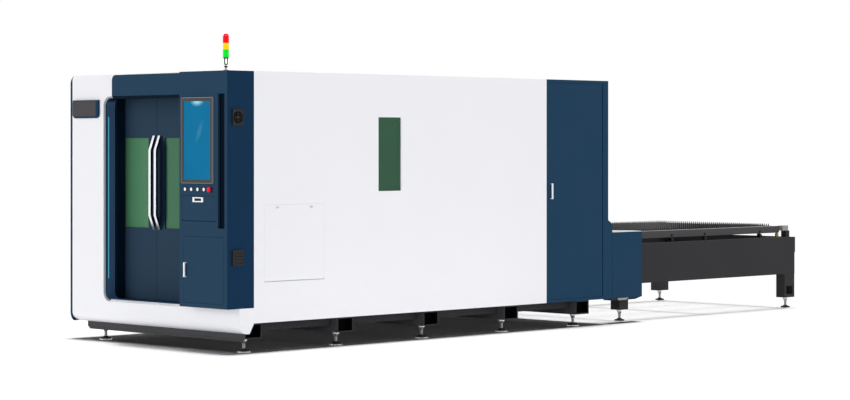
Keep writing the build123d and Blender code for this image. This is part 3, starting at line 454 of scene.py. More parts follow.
# Powder coats: colour, roughness, specular level, then drift of tone and orange peel
white_paint = powder_coat("white_paint", tone(234, 234, 238), 0.5, 0.15, 0.012)
navy_front = powder_coat("navy_front", navy, 0.6, 0.03)
# The cabinet's faces towards the near side take a darker navy: painted shade.
navy_cabinet = powder_coat("navy_cabinet", navy, 0.6, 0.03, second=(navy_flank_shade, facing, to_near))
navy_rear = powder_coat("navy_rear", tone(27, 58, 83), 0.6, 0.03)
# Near-black navy: on the opening's edge and soffit, the frame behind the leaves and the plate by the grips it
# is painted shade; it also lines the light bar's channel.
navy_dark = powder_coat("navy_dark", navy_shade, 0.6, 0.04)
# The opening's liner: a lighter navy that paints light on its jamb, and near-black on faces that look down,
# which paints shade.
lit_and_shaded_liner = powder_coat("lit_and_shaded_liner", tone(66, 96, 130), 0.6, 0.04, second=(navy_shade, facing, downwards))
# Near-black navy for the back of the console's niche: painted shade.
navy_niche_shade = powder_coat("navy_niche_shade", tone(0, 12, 28), 0.6, 0.03)
leaf_paint = powder_coat("leaf_paint", tone(40, 59, 77), 0.6, 0.04)
table_paint = powder_coat("table_paint", tone(48, 48, 50), 0.65, 0.05, 0.05, 0.12)
# The base frame's faces towards the front take a lighter grey: painted light.
base_paint = powder_coat(
    "base_paint", tone(44, 44, 46), 0.65, 0.05, 0.05, 0.12, second=(front_lit_grey, facing, to_front)
)
pallet_paint = powder_coat(
    "pallet_paint", tone(72, 72, 74), 0.6, 0.05, 0.06, 0.12, second=(shaded_grey, under, pallet_shade_top)
)
bed_paint = powder_coat("bed_paint", (0.2, 0.2, 0.21), 0.5, 0.3, 0.04)
grip_paint = powder_coat("grip_paint", tone(14, 28, 46), 0.5, 0.06)
stop_paint = powder_coat("stop_paint", (0.3, 0.29, 0.27), 0.55, 0.1, 0.05)
# A light grey that paints the shade on the white bevel round the opening's far side.
bevel_shade_grey = powder_coat("bevel_shade_grey", tone(150, 158, 164), 0.6, 0.06)

# Metals: colour, roughness, how the streaks are squeezed along each axis, their scale, then variation
# A pale metal strip along the pallet beams' top edges: painted highlight.
edge_highlight_metal = bare_metal("edge_highlight_metal", (0.34, 0.34, 0.345), 0.4, (14, 1, 1), 60.0, 0.3)
slat_steel = bare_metal("slat_steel", (0.055, 0.053, 0.053), 0.5, (1, 14, 1), 60.0, 0.3)
chrome = bare_metal("chrome", plating, 0.12, (1, 1, 9), 90.0, 0.04)
# Darker on faces that lean down: a painted dark reflection on the grips' lower ends.
grip_chrome = bare_metal(
    "grip_chrome", plating, 0.12, (1, 1, 9), 90.0, 0.04, second=(plating_dark_reflection, leaning, downwards)
)
ground_steel = bare_metal("ground_steel", (0.55, 0.55, 0.57), 0.3, (12, 1, 1), 120.0)
head_aluminium = bare_metal("head_aluminium", (0.62, 0.62, 0.64), 0.35, (1, 1, 10), 150.0)
brass = bare_metal("brass", (0.2, 0.13, 0.035), 0.35, (1, 6, 1), 120.0)
wheel_steel = bare_metal("wheel_steel", (0.014, 0.014, 0.015), 0.5, (1, 6, 1), 120.0)
dark_steel = bare_metal("dark_steel", (0.02, 0.02, 0.022), 0.5, (1, 1, 8), 120.0)
foot_steel = bare_metal("foot_steel", (0.3, 0.3, 0.31), 0.3, (1, 1, 8), 120.0)
foot_plate = bare_metal("foot_plate", (0.42, 0.42, 0.43), 0.35, (1, 1, 8), 120.0)
zinc = bare_metal("zinc", (0.6, 0.6, 0.61), 0.3, (1, 1, 6), 110.0)

# Plastics and rubber: colour, roughness, specular level, then scale of the texture
black_plastic = moulded("black_plastic", (0.018, 0.017, 0.017), 0.55, 0.1)
dark_grey_plastic = moulded("dark_grey_plastic", (0.058, 0.054, 0.054), 0.5, 0.08)
rim_plastic = moulded("rim_plastic", (0.2, 0.198, 0.2), 0.45, 0.1)
white_plastic = moulded("white_plastic", signal_white, 0.35)
# Pale plastic for the strip on the drive box's top edge: painted highlight.
lid_highlight_plastic = moulded("lid_highlight_plastic", (0.66, 0.67, 0.69), 0.45, 0.1)
# White on faces towards the front, near-black on the sides: the dark sides are painted shade.
button_shaded_sides = moulded(
    "button_shaded_sides", (0.03, 0.03, 0.032), 0.4, 0.2, second=(signal_white, facing, to_front)
)
red_plastic = moulded("red_plastic", (0.75, 0.004, 0.03), 0.3, 0.12)
grey_plastic = moulded("grey_plastic", (0.42, 0.42, 0.43), 0.4)
pale_plastic = moulded("pale_plastic", (0.7, 0.75, 0.82), 0.2, 0.6)
gasket_grey = moulded("gasket_grey", tone(206, 206, 212), 0.6, 0.1)
rubber = moulded("rubber", (0.02, 0.02, 0.021), 0.75, 0.2, 300.0)
# Black for the base tubes' plugs: painted shade inside the tubes.
plug_shade_black = moulded("plug_shade_black", (0.003, 0.003, 0.003), 0.8, 0.0)

# Lights: colour, colour of the glow, strength
lens_green = glowing("lens_green", (0.0, 0.55, 0.03), (0.0, 0.6, 0.02), 0.5)
lens_yellow = glowing("lens_yellow", (0.8, 0.5, 0.0), (0.9, 0.55, 0.0), 0.4)
lens_red = glowing("lens_red", (0.75, 0.0, 0.01), (0.9, 0.0, 0.01), 0.4)
cyan_light = glowing("cyan_light", (0.02, 0.2, 0.3), (0.1, 0.5, 0.68), 1.0)

# One green glass in three tones: lighter in the left door window as painted light, darker in the side window
# as painted shade.
left_glass_lit = safety_glass("left_glass_lit", (0.085, 0.24, 0.125))
right_glass = safety_glass("right_glass", (0.066, 0.185, 0.1))
side_glass_shaded = safety_glass("side_glass_shaded", (0.036, 0.105, 0.06))
screen_blue = display("screen_blue")

node_finishes = {
    white_paint: ("near_side_panel", "far_side_panel", "roof_panel", "front_panel", "side_hatch"),
    navy_front: ("header_fascia", "console_panel", "keyboard_flap", "cabinet_door"),
    navy_cabinet: ("control_cabinet",),
    navy_rear: ("rear_shell", "rear_door", "rear_end_wall", "drive_box", "front_edge_trim"),
    leaf_paint: ("door_leaf_left", "door_leaf_right"),
    base_paint: ("base_frame",),
    table_paint: ("table_frame",),
    bed_paint: ("machine_bed", "gantry_beam"),
    pallet_paint: ("pallet_frame",),
    slat_steel: ("pallet_slats",),
    chrome: ("levelling_feet",),
    grip_paint: ("door_grip_left", "door_grip_right"),
    ground_steel: ("guide_rails",),
    zinc: ("hatch_lock_1", "hatch_lock_2"),
    wheel_steel: ("pallet_wheels_1", "pallet_wheels_2", "pallet_wheels_3", "pallet_wheels_4"),
    black_plastic: ("vent_covers", "fan_rotor", "keyboard", "button_rings"),
    dark_grey_plastic: ("screen_bezel",),
    white_plastic: ("cabinet_pull", "rear_pull", "flap_latch"),
    button_shaded_sides: ("push_button_1", "push_button_2", "push_button_3", "push_button_4"),
    red_plastic: ("stop_button",),
    grey_plastic: ("tower_mount",),
    pale_plastic: ("dome_camera",),
    stop_paint: ("end_stops",),
    head_aluminium: ("cutting_head", "head_carriage"),
    side_glass_shaded: ("side_window",),
    left_glass_lit: ("door_window_left",),
    right_glass: ("door_window_right",),
    screen_blue: ("screen",),
    cyan_light: ("light_strip",),
    lens_green: ("tower_lens_green",),
    lens_yellow: ("tower_lens_yellow",),
    lens_red: ("tower_lens_red",),
}
for material, names in node_finishes.items():
    for name in names:
        nodes[name].data.materials.clear()
        nodes[name].data.materials.append(material)


# Front opening: a liner that is lighter for painted light and darker on faces that look down for painted
# shade, a grey strip and a dark strip over the bevel that paint its shade, a dark soffit that paints the
# shadow under the header, and a near-black frame behind the leaves that is painted shade

opening_low = (720, 360)
opening_high = (1741, 2050)
opening_radius = 65
corner_split = 1560
soffit_far = 1642
frame_low = (873, 360)
frame_high = (1711, 2050)
frame_corner = 4

# Sections of the opening's pieces: how much larger than the opening, and the place along
liner_rows = ((0, 142), (-2.5, 142), (-2.5, 230.8), (0, 230.8))
bevel_shade_rows = ((18.6, 123.6), (4.4, 136.4), (4.4, 137.8), (18.6, 124.4))
edge_rows = ((4.4, 136.4), (-1.2, 141.4), (-1.2, 142.6), (0.4, 142.6), (4.4, 138.4))
soffit_rows = (
    (30, 123.3), (18.5, 123.3), (-3, 141.2), (-3, 142.8), (0.4, 142.8), (18.5, 124.6), (30, 124.6),
)


def opening_outline(grow):
    """The door opening's outline in the white front, made larger by a width."""
    low, high = grown(opening_low, opening_high, grow)
    return round_outline(low, high, opening_radius + grow)


def opening_top(grow):
    """The opening's top edge from behind the header to the near corner, made larger by a width."""
    corner_foot = opening_high[1] - opening_radius - 1
    near_side = [point for point in opening_outline(grow) if point[0] < corner_split]
    near_corner = [point for point in near_side if point[1] > corner_foot]
    return [(soffit_far, opening_high[1] + grow)] + near_corner


def far_edge(grow):
    """The opening's far side from its foot to behind the header, made larger by a width."""
    far_corners = [point for point in opening_outline(grow) if point[0] > corner_split]
    return far_corners + [(soffit_far, opening_high[1] + grow)]


def make_opening():
    """Line the opening's inside and edge it, and frame the leaves behind it; the edge strips, the soffit and
    the frame paint shade.
    """
    bm = bmesh.new()
    swept(bm, on_front, [(opening_outline(grow), along) for grow, along in liner_rows], closed=True)
    piece("opening_liner", bm, lit_and_shaded_liner, "machine")
    strips = (
        ("opening_bevel_shade", far_edge, bevel_shade_rows, bevel_shade_grey, "light_grey"),
        ("opening_edge", far_edge, edge_rows, navy_dark, "navy_paint"),
        ("opening_soffit", opening_top, soffit_rows, navy_dark, "navy_paint"),
    )
    for name, path, rows, material, slot in strips:
        bm = bmesh.new()
        ribbon(bm, on_front, [(path(grow), along) for grow, along in rows])
        piece(name, bm, material, "machine")
    bm = bmesh.new()
    low, high = (from_datum(corner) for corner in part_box("door_frame"))
    outer = round_outline(low[1:], high[1:], frame_corner)
    inner = round_outline(frame_low, frame_high, frame_corner)
    rows = ((outer, low[0]), (outer, high[0]), (inner, high[0]), (inner, low[0]))
    swept(bm, on_front, rows, closed=True)
    piece("jamb_frame", bm, navy_dark, "machine", edge=2.0, replaces=("door_frame",))


make_opening()


# Light bar in the jamb: a narrow lit bar in a dark channel

bar_from, bar_to = 2.5, 9.5
bar_back = 2.5
bar_chamfer = 0.8


def make_light_bar():
    """The bar and its channel, in the place of the plain light strip."""
    low, high = (from_datum(corner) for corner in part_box("light_strip"))
    front, back = low[0], high[0]
    proud, wall = low[1], high[1]
    left, right = front + bar_from, front + bar_to
    floor_line = wall - bar_back
    channel = (
        (front, wall), (back, wall), (back, proud), (right, proud),
        (right, floor_line), (left, floor_line), (left, proud), (front, proud),
    )
    bm = bmesh.new()
    prism(bm, on_floor, channel, low[2], high[2])
    piece("light_channel", bm, navy_dark, "machine")
    bar = (
        (left, floor_line), (right, floor_line), (right, proud + bar_chamfer),
        (right - bar_chamfer, proud), (left + bar_chamfer, proud), (left, proud + bar_chamfer),
    )
    bm = bmesh.new()
    prism(bm, on_floor, bar, low[2], high[2])
    piece("light_bar", bm, cyan_light, "machine", replaces=("light_strip",))


make_light_bar()


# Door grips: chrome faces along the front of the grips, darker on their lower ends as a painted reflection,
# and a dark plate beside them that paints the grips' shadow on the leaf

grip_places = {"left": 1327, "right": 1257}
grip_half = 13
grip_face = 3
grip_line = ((322, 951), (276, 1071), (276, 1619), (322, 1739))
grip_shadow_line = ((1240, 951), (1240, 1739), (1218, 1739), (1175, 1650), (1175, 1040), (1218, 951))
grip_shadow_front, grip_shadow_back = 319, 321.8


def make_grips():
    """The faces ride on their leaves; the plate, a painted shadow of the grips, rides on the right leaf."""
    line = list(grip_line) + [(along - grip_face, height) for along, height in reversed(grip_line)]
    for side, across in grip_places.items():
        bm = bmesh.new()
        prism(bm, on_side, line, across - grip_half, across + grip_half)
        piece(f"grip_face_{side}", bm, grip_chrome, f"leaf_{side}", edge=1.0)
    bm = bmesh.new()
    prism(bm, on_front, grip_shadow_line, grip_shadow_front, grip_shadow_back)
    piece("grip_shadow_plate", bm, navy_dark, "leaf_right", edge=1.0)


make_grips()


# Bare plate on the pillar

tray_low, tray_high = (1810, 1887), (2163, 2040)
tray_radius = 34
tray_front, tray_back = 104, 124
plate_low, plate_high = (1838, 1903), (2161, 2031)
plate_radius = 12
plate_front = 101.5


def make_pillar_plate():
    """A shallow navy tray, round at its lower corners, with a plain grey plate in it."""
    middle = (tray_low[1] + tray_high[1]) / 2
    arcs = [point for point in round_outline(tray_low, tray_high, tray_radius) if point[1] < middle]
    half = len(arcs) // 2
    tray = arcs[:half] + [tray_high, (tray_low[0], tray_high[1])] + arcs[half:]
    bm = bmesh.new()
    prism(bm, on_front, tray, tray_front, tray_back)
    piece("pillar_tray", bm, navy_rear, "machine", edge=2.0)
    bm = bmesh.new()
    prism(bm, on_front, round_outline(plate_low, plate_high, plate_radius), plate_front, tray_front)
    piece("pillar_plate", bm, dark_grey_plastic, "machine", edge=0.8)


make_pillar_plate()


# Base: black plugs in the tube ends that paint the shade inside the tubes, a downturned lip along the front,
# levelling feet

tube_places = (277, 1282, 2287, 3292, 4247)
tube_half = 78.8
tube_low, tube_high = 124.2, 224.8
plug_wall = 1.5
plug_ends = ((11, 82), (2055, 1984))
lip_line = ((20, 112.2), (40, 92), (2030, 92), (2048, 112.2))
lip_front, lip_back = 186, 192


def make_plugs():
    """Recessed cups that close the open ends of the base's cross tubes; their black paints the shade inside
    the tubes.
    """
    bm = bmesh.new()
    for middle in tube_places:
        low, high = (middle - tube_half, tube_low), (middle + tube_half, tube_high)
        outer = box_outline(low, high)
        inner = box_outline(*grown(low, high, -plug_wall))
        for mouth, back in plug_ends:
            bottom = back + math.copysign(plug_wall, mouth - back)
            swept(bm, on_side, [(outer, back), (outer, mouth), (inner, mouth), (inner, bottom)])
    piece("tube_plugs", bm, plug_shade_black, "machine")


def make_front_lip():
    """The folded lip under the foremost tube of the base, its ends cut back."""
    bm = bmesh.new()
    prism(bm, on_front, lip_line, lip_front, lip_back)
    piece("front_lip", bm, base_paint, "machine", edge=1.0)


# Feet: rows of radius and height
pad_rows = ((50, 0), (53, 1.5), (53, 7), (50, 8.5))
foot_top_rows = ((47, 8.3), (47, 17), (44, 20), (27, 23), (22, 29), (15, 32))
thread_rows = ((12.2, 24), (13.6, 25.2), (12.2, 26.4))
thread_pitch, thread_turns = 3.5, 20
thread_corners = 20
nut_rows = ((23, 92), (26.5, 94), (26.5, 110), (24, 112))
nut_sides, nut_turn = 6, 15
collar_rows = ((14, 74), (17, 76), (23, 92.5))
collar_corners = 24
base_foot_across = (125, 1925)
table_foot_along = (4969, 7566)
table_foot_across = (177.5, 1822.5)


def make_feet():
    """Turned feet in the place of the plain ones: pad, rubber top, threaded screw, nut and collar."""
    pads, tops, screws, nuts = bmesh.new(), bmesh.new(), bmesh.new(), bmesh.new()
    spots = [(along, across) for along in tube_places for across in base_foot_across]
    spots += [(along, across) for along in table_foot_along for across in table_foot_across]
    thread = []
    for turn in range(thread_turns):
        thread += [(radius, height + thread_pitch * turn) for radius, height in thread_rows]
    for spot in spots:
        turned(pads, on_floor, spot, pad_rows)
        turned(tops, on_floor, spot, foot_top_rows)
        turned(screws, on_floor, spot, thread, thread_corners)
        turned(nuts, on_floor, spot, nut_rows, nut_sides, nut_turn)
        turned(nuts, on_floor, spot, collar_rows, collar_corners)
    piece("foot_pads", pads, zinc, "machine", replaces=("levelling_feet",))
    piece("foot_tops", tops, rubber, "machine")
    piece("foot_screws", screws, foot_steel, "machine")
    piece("foot_nuts", nuts, foot_plate, "machine", edge=0.8)


make_plugs()
make_front_lip()
make_feet()


# Pallet: saw-tooth slats, axle bolts, guide rollers, bright strips along the beams' top edges as painted
# highlights

slat_near, slat_far = 256, 1744
slat_bottom, slat_top = 790.5, 860.5
slat_first, slat_pitch, slat_count = 4493, 97, 31
slat_thickness = 4
tooth_count = 57
tooth_height = 30
tooth_tip = 4
tooth_root = 5


def make_slats():
    """Thin upright slats with a fine saw-tooth top."""
    pitch = (slat_far - slat_near) / tooth_count
    half_tip, half_base = tooth_tip / 2, (pitch - tooth_root) / 2
    tooth_foot = slat_top - tooth_height
    line = [(slat_near, slat_bottom), (slat_near, tooth_foot)]
    for tooth in range(tooth_count):
        middle = slat_near + pitch * (tooth + 0.5)
        line += [(middle - half_base, tooth_foot), (middle - half_tip, slat_top)]
        line += [(middle + half_tip, slat_top), (middle + half_base, tooth_foot)]
    line += [(slat_far, tooth_foot), (slat_far, slat_bottom)]
    bm = bmesh.new()
    for index in range(slat_count):
        along = slat_first + slat_pitch * index
        prism(bm, on_front, line, along, along + slat_thickness)
    piece("saw_tooth_slats", bm, slat_steel, "pallet", replaces=("pallet_slats",))


# Bolts and rollers: rows of radius and depth
axle_places = (4559.2, 5780.6, 6292.1, 7181.8)
axle_height = 787
near_bolt_rows = ((14, 205), (14, 198), (11, 196))
far_bolt_rows = ((14, 1795), (14, 1802), (11, 1804))
bolt_sides = 6
roller_spots = ((7478, 220), (7478, 1780), (4422, 220), (4422, 1780))
roller_rows = ((13, 727), (18, 729), (18, 742), (16, 744), (18, 746), (18, 760), (11, 763), (11, 768))
highlight_from, highlight_to = 4400, 7496
highlight_places, highlight_width = (205, 1789), 6
highlight_low, highlight_high = 835.4, 838.5


def make_pallet_fittings():
    """Axle bolts on the pallet's long beams, a guide roller at each corner, and a painted highlight along
    each beam's top edge.
    """
    bolts, rollers, edges = bmesh.new(), bmesh.new(), bmesh.new()
    for along in axle_places:
        for rows in (near_bolt_rows, far_bolt_rows):
            turned(bolts, on_side, (along, axle_height), rows, bolt_sides)
    for spot in roller_spots:
        turned(rollers, on_floor, spot, roller_rows)
    for near in highlight_places:
        block(edges, (highlight_from, near, highlight_low), (highlight_to, near + highlight_width, highlight_high))
    piece("pallet_bolts", bolts, dark_steel, "pallet", edge=0.5)
    piece("pallet_rollers", rollers, brass, "pallet")
    piece("pallet_edge_highlights", edges, edge_highlight_metal, "pallet", edge=0.8)


make_slats()
make_pallet_fittings()


# Tower light: ribbed lenses on a dark base with bright ribs, on a thin stem; rows of radius and height

tower_spot = (92, 127)
tower_corners = 40
lens_heights = {"green": (2356, 2420), "yellow": (2420, 2471), "red": (2471, 2531)}
lens_finishes = {"green": lens_green, "yellow": lens_yellow, "red": lens_red}
lens_start = ((22, 0), (24, 2))
lens_rib = ((25, 4), (25, 7), (24.2, 8.5))
lens_end = ((25, -3), (22, 0))
lens_rib_pitch = 6
lens_plain = 8
cap_rows = ((19, 2530.5), (19, 2536), (15, 2543), (8, 2545))
tower_base_rows = ((14, 2300), (17, 2304), (17.5, 2344), (21, 2348), (21, 2356.5))
tower_stem_rows = (
    (25, 2250), (25, 2255), (18, 2258), (7, 2260), (7, 2276), (13, 2277), (13, 2287), (9, 2288), (9, 2301),
)
tower_collar_rows = ((13.5, 2277), (14.5, 2278), (14.5, 2286), (13.5, 2287))
tower_collar_corners = 32
base_ribs = 5
base_rib_turn = -122
base_rib_half = 14
base_rib_steps = 4
base_rib_outer, base_rib_inner = 19.5, 16.5
base_rib_low, base_rib_high = 2305, 2347


def tower_piece(name, rows, material, corners=tower_corners, replaces=()):
    """A turned piece of the tower light."""
    bm = bmesh.new()
    turned(bm, on_floor, tower_spot, rows, corners)
    piece(name, bm, material, "machine", replaces=replaces)


def make_lens(colour):
    """A ribbed lens in the place of the plain one."""
    low, high = lens_heights[colour]
    rows = [(radius, low + height) for radius, height in lens_start]
    for rib in range(int((high - low - lens_plain) / lens_rib_pitch)):
        rows += [(radius, low + height + lens_rib_pitch * rib) for radius, height in lens_rib]
    rows += [(radius, high + height) for radius, height in lens_end]
    finish = lens_finishes[colour]
    tower_piece(f"tower_{colour}", rows, finish, replaces=(f"tower_lens_{colour}",))


def make_base_ribs():
    """Bright upright ribs round the tower light's base."""
    bm = bmesh.new()
    steps = range(-base_rib_steps, base_rib_steps + 1)
    for rib in range(base_ribs):
        middle = base_rib_turn + 360 * rib / base_ribs
        angles = [math.radians(middle + base_rib_half * step / base_rib_steps) for step in steps]
        line = [(base_rib_outer, angle) for angle in angles]
        line += [(base_rib_inner, angle) for angle in reversed(angles)]
        corners = [(tower_spot[0] + r * math.cos(a), tower_spot[1] + r * math.sin(a)) for r, a in line]
        prism(bm, on_floor, corners, base_rib_low, base_rib_high)
    piece("tower_ribs", bm, chrome, "machine", edge=0.4)


for colour in lens_heights:
    make_lens(colour)
tower_piece("tower_cap", cap_rows, lens_red)
tower_piece("tower_base", tower_base_rows, dark_grey_plastic)
make_base_ribs()
tower_piece("tower_stem", tower_stem_rows, grey_plastic, replaces=("tower_mount",))
tower_piece("tower_collar", tower_collar_rows, black_plastic, tower_collar_corners)


# Console: bezel rim, latch slot, a black collar by the stop button that paints its side shadow, keys behind
# the flap, and a near-black back in the niche that paints its shade

bezel_low, bezel_high = (170, 1353), (561, 2040)
bezel_corner = 6
bezel_rows = ((1.2, 0), (1.2, -10), (0, -13), (-4, -13), (-5, -11.6), (0, -11.6), (0.3, 0))
latch_low, latch_high = (320, 1212.5), (404, 1232.5)
latch_radius = 4
latch_front, latch_back = -1.5, 0.5
stop_spot = (206, 1305)
stop_rows = ((24, 0.2), (24, -5), (21, -8), (15, -8))
stop_corners = 40
key_rows, key_columns = 5, 14
key_first = (172, 1092)
key_pitch = (25.5, 26.5)
key_size = 21
key_slope = 3
key_radius, key_steps = 3, 3
key_foot, key_top = 35.8, 40
niche_low, niche_high = (21, 37, 999), (24, 118, 2067)


def make_keys():
    """Rows of single keys that taper to their tops."""
    bm = bmesh.new()
    for row in range(key_rows):
        for column in range(key_columns):
            low = (key_first[0] + key_pitch[0] * column, key_first[1] + key_pitch[1] * row)
            high = (low[0] + key_size, low[1] + key_size)
            foot = round_outline(low, high, key_radius, key_steps)
            top = round_outline(*grown(low, high, -key_slope), key_radius, key_steps)
            swept(bm, on_front, [(foot, key_foot), (top, key_top)])
    piece("keyboard_keys", bm, dark_grey_plastic, "flap")


def make_console():
    """Small pieces on the console panel and its flap."""
    bm = bmesh.new()
    rows = []
    for grow, along in bezel_rows:
        low, high = grown(bezel_low, bezel_high, grow)
        rows.append((round_outline(low, high, bezel_corner + grow), along))
    swept(bm, on_front, rows, closed=True)
    piece("bezel_rim", bm, rim_plastic, "machine")
    bm = bmesh.new()
    prism(bm, on_front, round_outline(latch_low, latch_high, latch_radius), latch_front, latch_back)
    piece("latch_well", bm, black_plastic, "flap")
    # A black collar round the stop button: painted shadow beside it.
    bm = bmesh.new()
    turned(bm, on_front, stop_spot, stop_rows, stop_corners)
    piece("stop_shadow_collar", bm, black_plastic, "machine", edge=0.6)
    make_keys()
    # A near-black back in the niche: painted shade.
    bm = bmesh.new()
    block(bm, niche_low, niche_high)
    piece("niche_shade_back", bm, navy_niche_shade, "machine", edge=0.5)


make_console()


# Side hatch: a pale gasket in its joint, and the slots of its locks

hatch_low, hatch_high = (385, 560), (1037, 1181)
gasket_rows = ((0, 0.8), (-1.6, 0.8), (-1.6, 12), (0, 12))
lock_places = (527, 895)
lock_slot_half = 9
lock_slot_front, lock_slot_back = -7, -6.2
lock_slot_low, lock_slot_high = 1155.5, 1158.5


def make_hatch_fittings():
    """The gasket stays on the machine, and each slot turns with its lock."""
    bm = bmesh.new()
    rows = [(box_outline(*grown(hatch_low, hatch_high, grow)), across) for grow, across in gasket_rows]
    swept(bm, on_side, rows, closed=True)
    piece("hatch_gasket", bm, gasket_grey, "machine")
    for number, along in enumerate(lock_places, start=1):
        low = (along - lock_slot_half, lock_slot_front, lock_slot_low)
        high = (along + lock_slot_half, lock_slot_back, lock_slot_high)
        bm = bmesh.new()
        block(bm, low, high)
        piece(f"lock_slot_{number}", bm, black_plastic, f"lock_{number}", edge=0.3)


make_hatch_fittings()


# Drive box: a pale lid strip on it that paints the highlight along its top edge, and the dark sole with its
# pale cap under it

lid_line = ((4664, 848.8), (5084, 848.8), (5084, 853), (4664, 866))
lid_near, lid_far = 1, 124
sole_line = ((4664, 237.2), (4668, 216), (5000, 216), (5085, 237.2))
sole_near, sole_far = 8, 118
cap_line = ((4740, 222), (4760, 216), (4860, 216), (4892, 236.5), (4740, 236.5))
cap_near, cap_far = -1, 9


def make_drive_fittings():
    """Thin pieces above and below the drive box."""
    bm = bmesh.new()
    prism(bm, on_side, lid_line, lid_near, lid_far)
    piece("drive_highlight_lid", bm, lid_highlight_plastic, "machine", edge=0.6)
    bm = bmesh.new()
    prism(bm, on_side, sole_line, sole_near, sole_far)
    piece("drive_sole", bm, base_paint, "machine", edge=1.5)
    bm = bmesh.new()
    prism(bm, on_side, cap_line, cap_near, cap_far)
    piece("drive_cap", bm, stop_paint, "machine", edge=1.0)


make_drive_fittings()


# Pallet passage: a curtain of rubber strips, their feet a little uneven

strip_count = 28
strip_first, strip_pitch, strip_width = 153, 60.5, 58
strip_from, strip_to = 4584, 4588
strip_foot, strip_top = 870, 1009.5
strip_wave, strip_wave_step = 3, 2.4


def make_passage():
    """The curtain hangs in the opening of the rear end wall."""
    bm = bmesh.new()
    for index in range(strip_count):
        near = strip_first + strip_pitch * index
        foot = strip_foot + strip_wave * math.sin(index * strip_wave_step)
        block(bm, (strip_from, near, foot), (strip_to, near + strip_width, strip_top))
    piece("passage_curtain", bm, rubber, "machine", edge=0.8)


make_passage()


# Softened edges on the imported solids, by width

weld_gap = 0.02
node_edges = {
    4.0: (
        "near_side_panel", "far_side_panel", "front_panel", "roof_panel", "control_cabinet", "header_fascia",
    ),
    3.0: ("rear_shell", "rear_door", "drive_box", "cabinet_door", "keyboard_flap", "side_hatch"),
    2.0: ("pallet_frame", "base_frame", "end_stops", "gantry_beam", "head_carriage"),
    1.5: ("screen_bezel", "cabinet_pull", "rear_pull", "vent_covers", "door_leaf_left", "door_leaf_right"),
}
for width, names in node_edges.items():
    for name in names:
        weld = nodes[name].modifiers.new("joined", "WELD")
        weld.merge_threshold = weld_gap * MM
        soften(nodes[name], width)


# Stage: a pale floor, soft light and the photo's camera

floor_half = 150
floor_tone = (0.96, 0.96, 0.96)
shadow_lift = 0.014
world_light, world_seen = 0.03, 1.0
photo_width = 850
photo_focal = 2398.55
horizon_above_middle = 55.92
frame_shift = 0.65
camera_place = (-12281, -14478, 1667)
camera_yaw = -45
camera_sensor = 36
camera_reach = 500


def make_floor():
    """A wide pale floor, whose shadows are lifted a little from black."""
    half = floor_half
    mesh = bpy.data.meshes.new("floor")
    corners = [(-half, -half, 0), (half, -half, 0), (half, half, 0), (-half, half, 0)]
    mesh.from_pydata(corners, [], [(0, 1, 2, 3)])
    floor = bpy.data.objects.new("floor", mesh)
    bpy.context.scene.collection.objects.link(floor)
    material, tree, shader = new_material("floor_white")
    cloud = noise(tree, scale=0.3)
    tree.links.new(tinted(tree, cloud, floor_tone, variation=0.005), shader.inputs["Base Color"])
    shader.inputs["Roughness"].default_value = 0.9
    shader.inputs["Specular IOR Level"].default_value = 0.0
    shader.inputs["Emission Color"].default_value = (1, 1, 1, 1)
    shader.inputs["Emission Strength"].default_value = shadow_lift
    mesh.materials.append(material)
    return floor


def left_out(name, objects):
    """A group of objects that a light leaves out."""
    group = bpy.data.collections.new(name)
    for obj in objects:
        group.objects.link(obj)
    for member in group.collection_objects:
        member.light_linking.link_state = "EXCLUDE"
    return group


def make_sun(name, towards, strength, spread_degrees, unlit=(), shadowless=()):
    """A distant light that shines in a direction; it may leave objects unlit, or without a shadow."""
    data = bpy.data.lights.new(name, "SUN")
    data.energy = strength
    data.angle = math.radians(spread_degrees)
    sun = bpy.data.objects.new(name, data)
    sun.rotation_mode = "QUATERNION"
    sun.rotation_quaternion = Vector(towards).to_track_quat("-Z", "Y")
    bpy.context.scene.collection.objects.link(sun)
    if unlit:
        sun.light_linking.receiver_collection = left_out(name + "_unlit", unlit)
    if shadowless:
        sun.light_linking.blocker_collection = left_out(name + "_shadowless", shadowless)


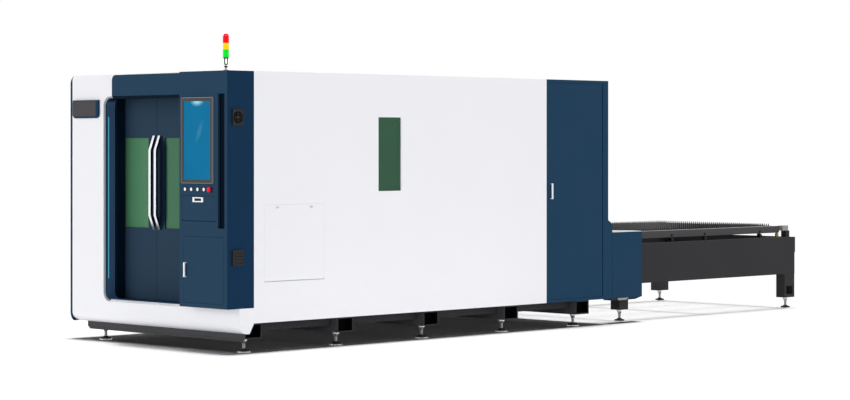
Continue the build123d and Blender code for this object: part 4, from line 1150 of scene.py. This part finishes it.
def make_world():
    """Soft even light; rays from the camera, and those that metal and glass pass on, see plain white."""
    world = bpy.data.worlds.new("studio")
    bpy.context.scene.world = world
    world.use_nodes = True
    tree = world.node_tree
    background = tree.nodes["Background"]
    background.inputs["Color"].default_value = (1, 1, 1, 1)
    path = tree.nodes.new("ShaderNodeLightPath")
    choose = tree.nodes.new("ShaderNodeMix")
    choose.inputs["A"].default_value = world_light
    choose.inputs["B"].default_value = world_seen
    seen = path.outputs["Is Camera Ray"]
    for kind in ("Is Glossy Ray", "Is Transmission Ray"):
        either = tree.nodes.new("ShaderNodeMath")
        either.operation = "MAXIMUM"
        tree.links.new(seen, either.inputs[0])
        tree.links.new(path.outputs[kind], either.inputs[1])
        seen = either.outputs["Value"]
    tree.links.new(seen, choose.inputs["Factor"])
    tree.links.new(choose.outputs["Result"], background.inputs["Strength"])


def make_camera():
    """The photo's camera: level, with its horizon above the middle of the frame."""
    data = bpy.data.cameras.new("camera")
    data.sensor_width = camera_sensor
    data.lens = data.sensor_width * photo_focal / photo_width
    data.shift_x = frame_shift / photo_width
    data.shift_y = -horizon_above_middle / photo_width
    data.clip_end = camera_reach
    camera = bpy.data.objects.new("camera", data)
    camera.location = at(*camera_place)
    camera.rotation_euler = (math.radians(90), 0, math.radians(camera_yaw))
    bpy.context.scene.collection.objects.link(camera)
    bpy.context.scene.camera = camera


stage = (make_floor(),)
open_frame = [nodes[name] for name in ("table_frame", "pallet_frame", "base_frame")]
pale_tops = [nodes[name] for name in node_finishes[white_paint]]
from_above = (-0.02, -0.02, -1)

# Suns: name, direction, strength, spread in degrees, what they don't light, what casts no shadow in them
make_sun("overhead", from_above, 1.7, 4, pale_tops, open_frame)
make_sun("overhead_soft", from_above, 1.5, 18)
make_sun("front_key", (0.88, -0.42, -0.2), 1.32, 40, stage, stage)
make_sun("side_key", (-0.3, 0.93, -0.2), 0.9, 40, stage, stage)
make_sun("corner_fill", (0.72, 0.66, -0.2), 0.6, 30, stage, stage)
make_sun("far_fill", (-0.2, -0.96, -0.2), 0.95, 60, stage, stage)
make_sun("back_fill", (-0.97, 0.1, -0.2), 1.3, 60, stage, stage)
make_world()
make_camera()
bpy.context.scene.view_settings.view_transform = "Standard"
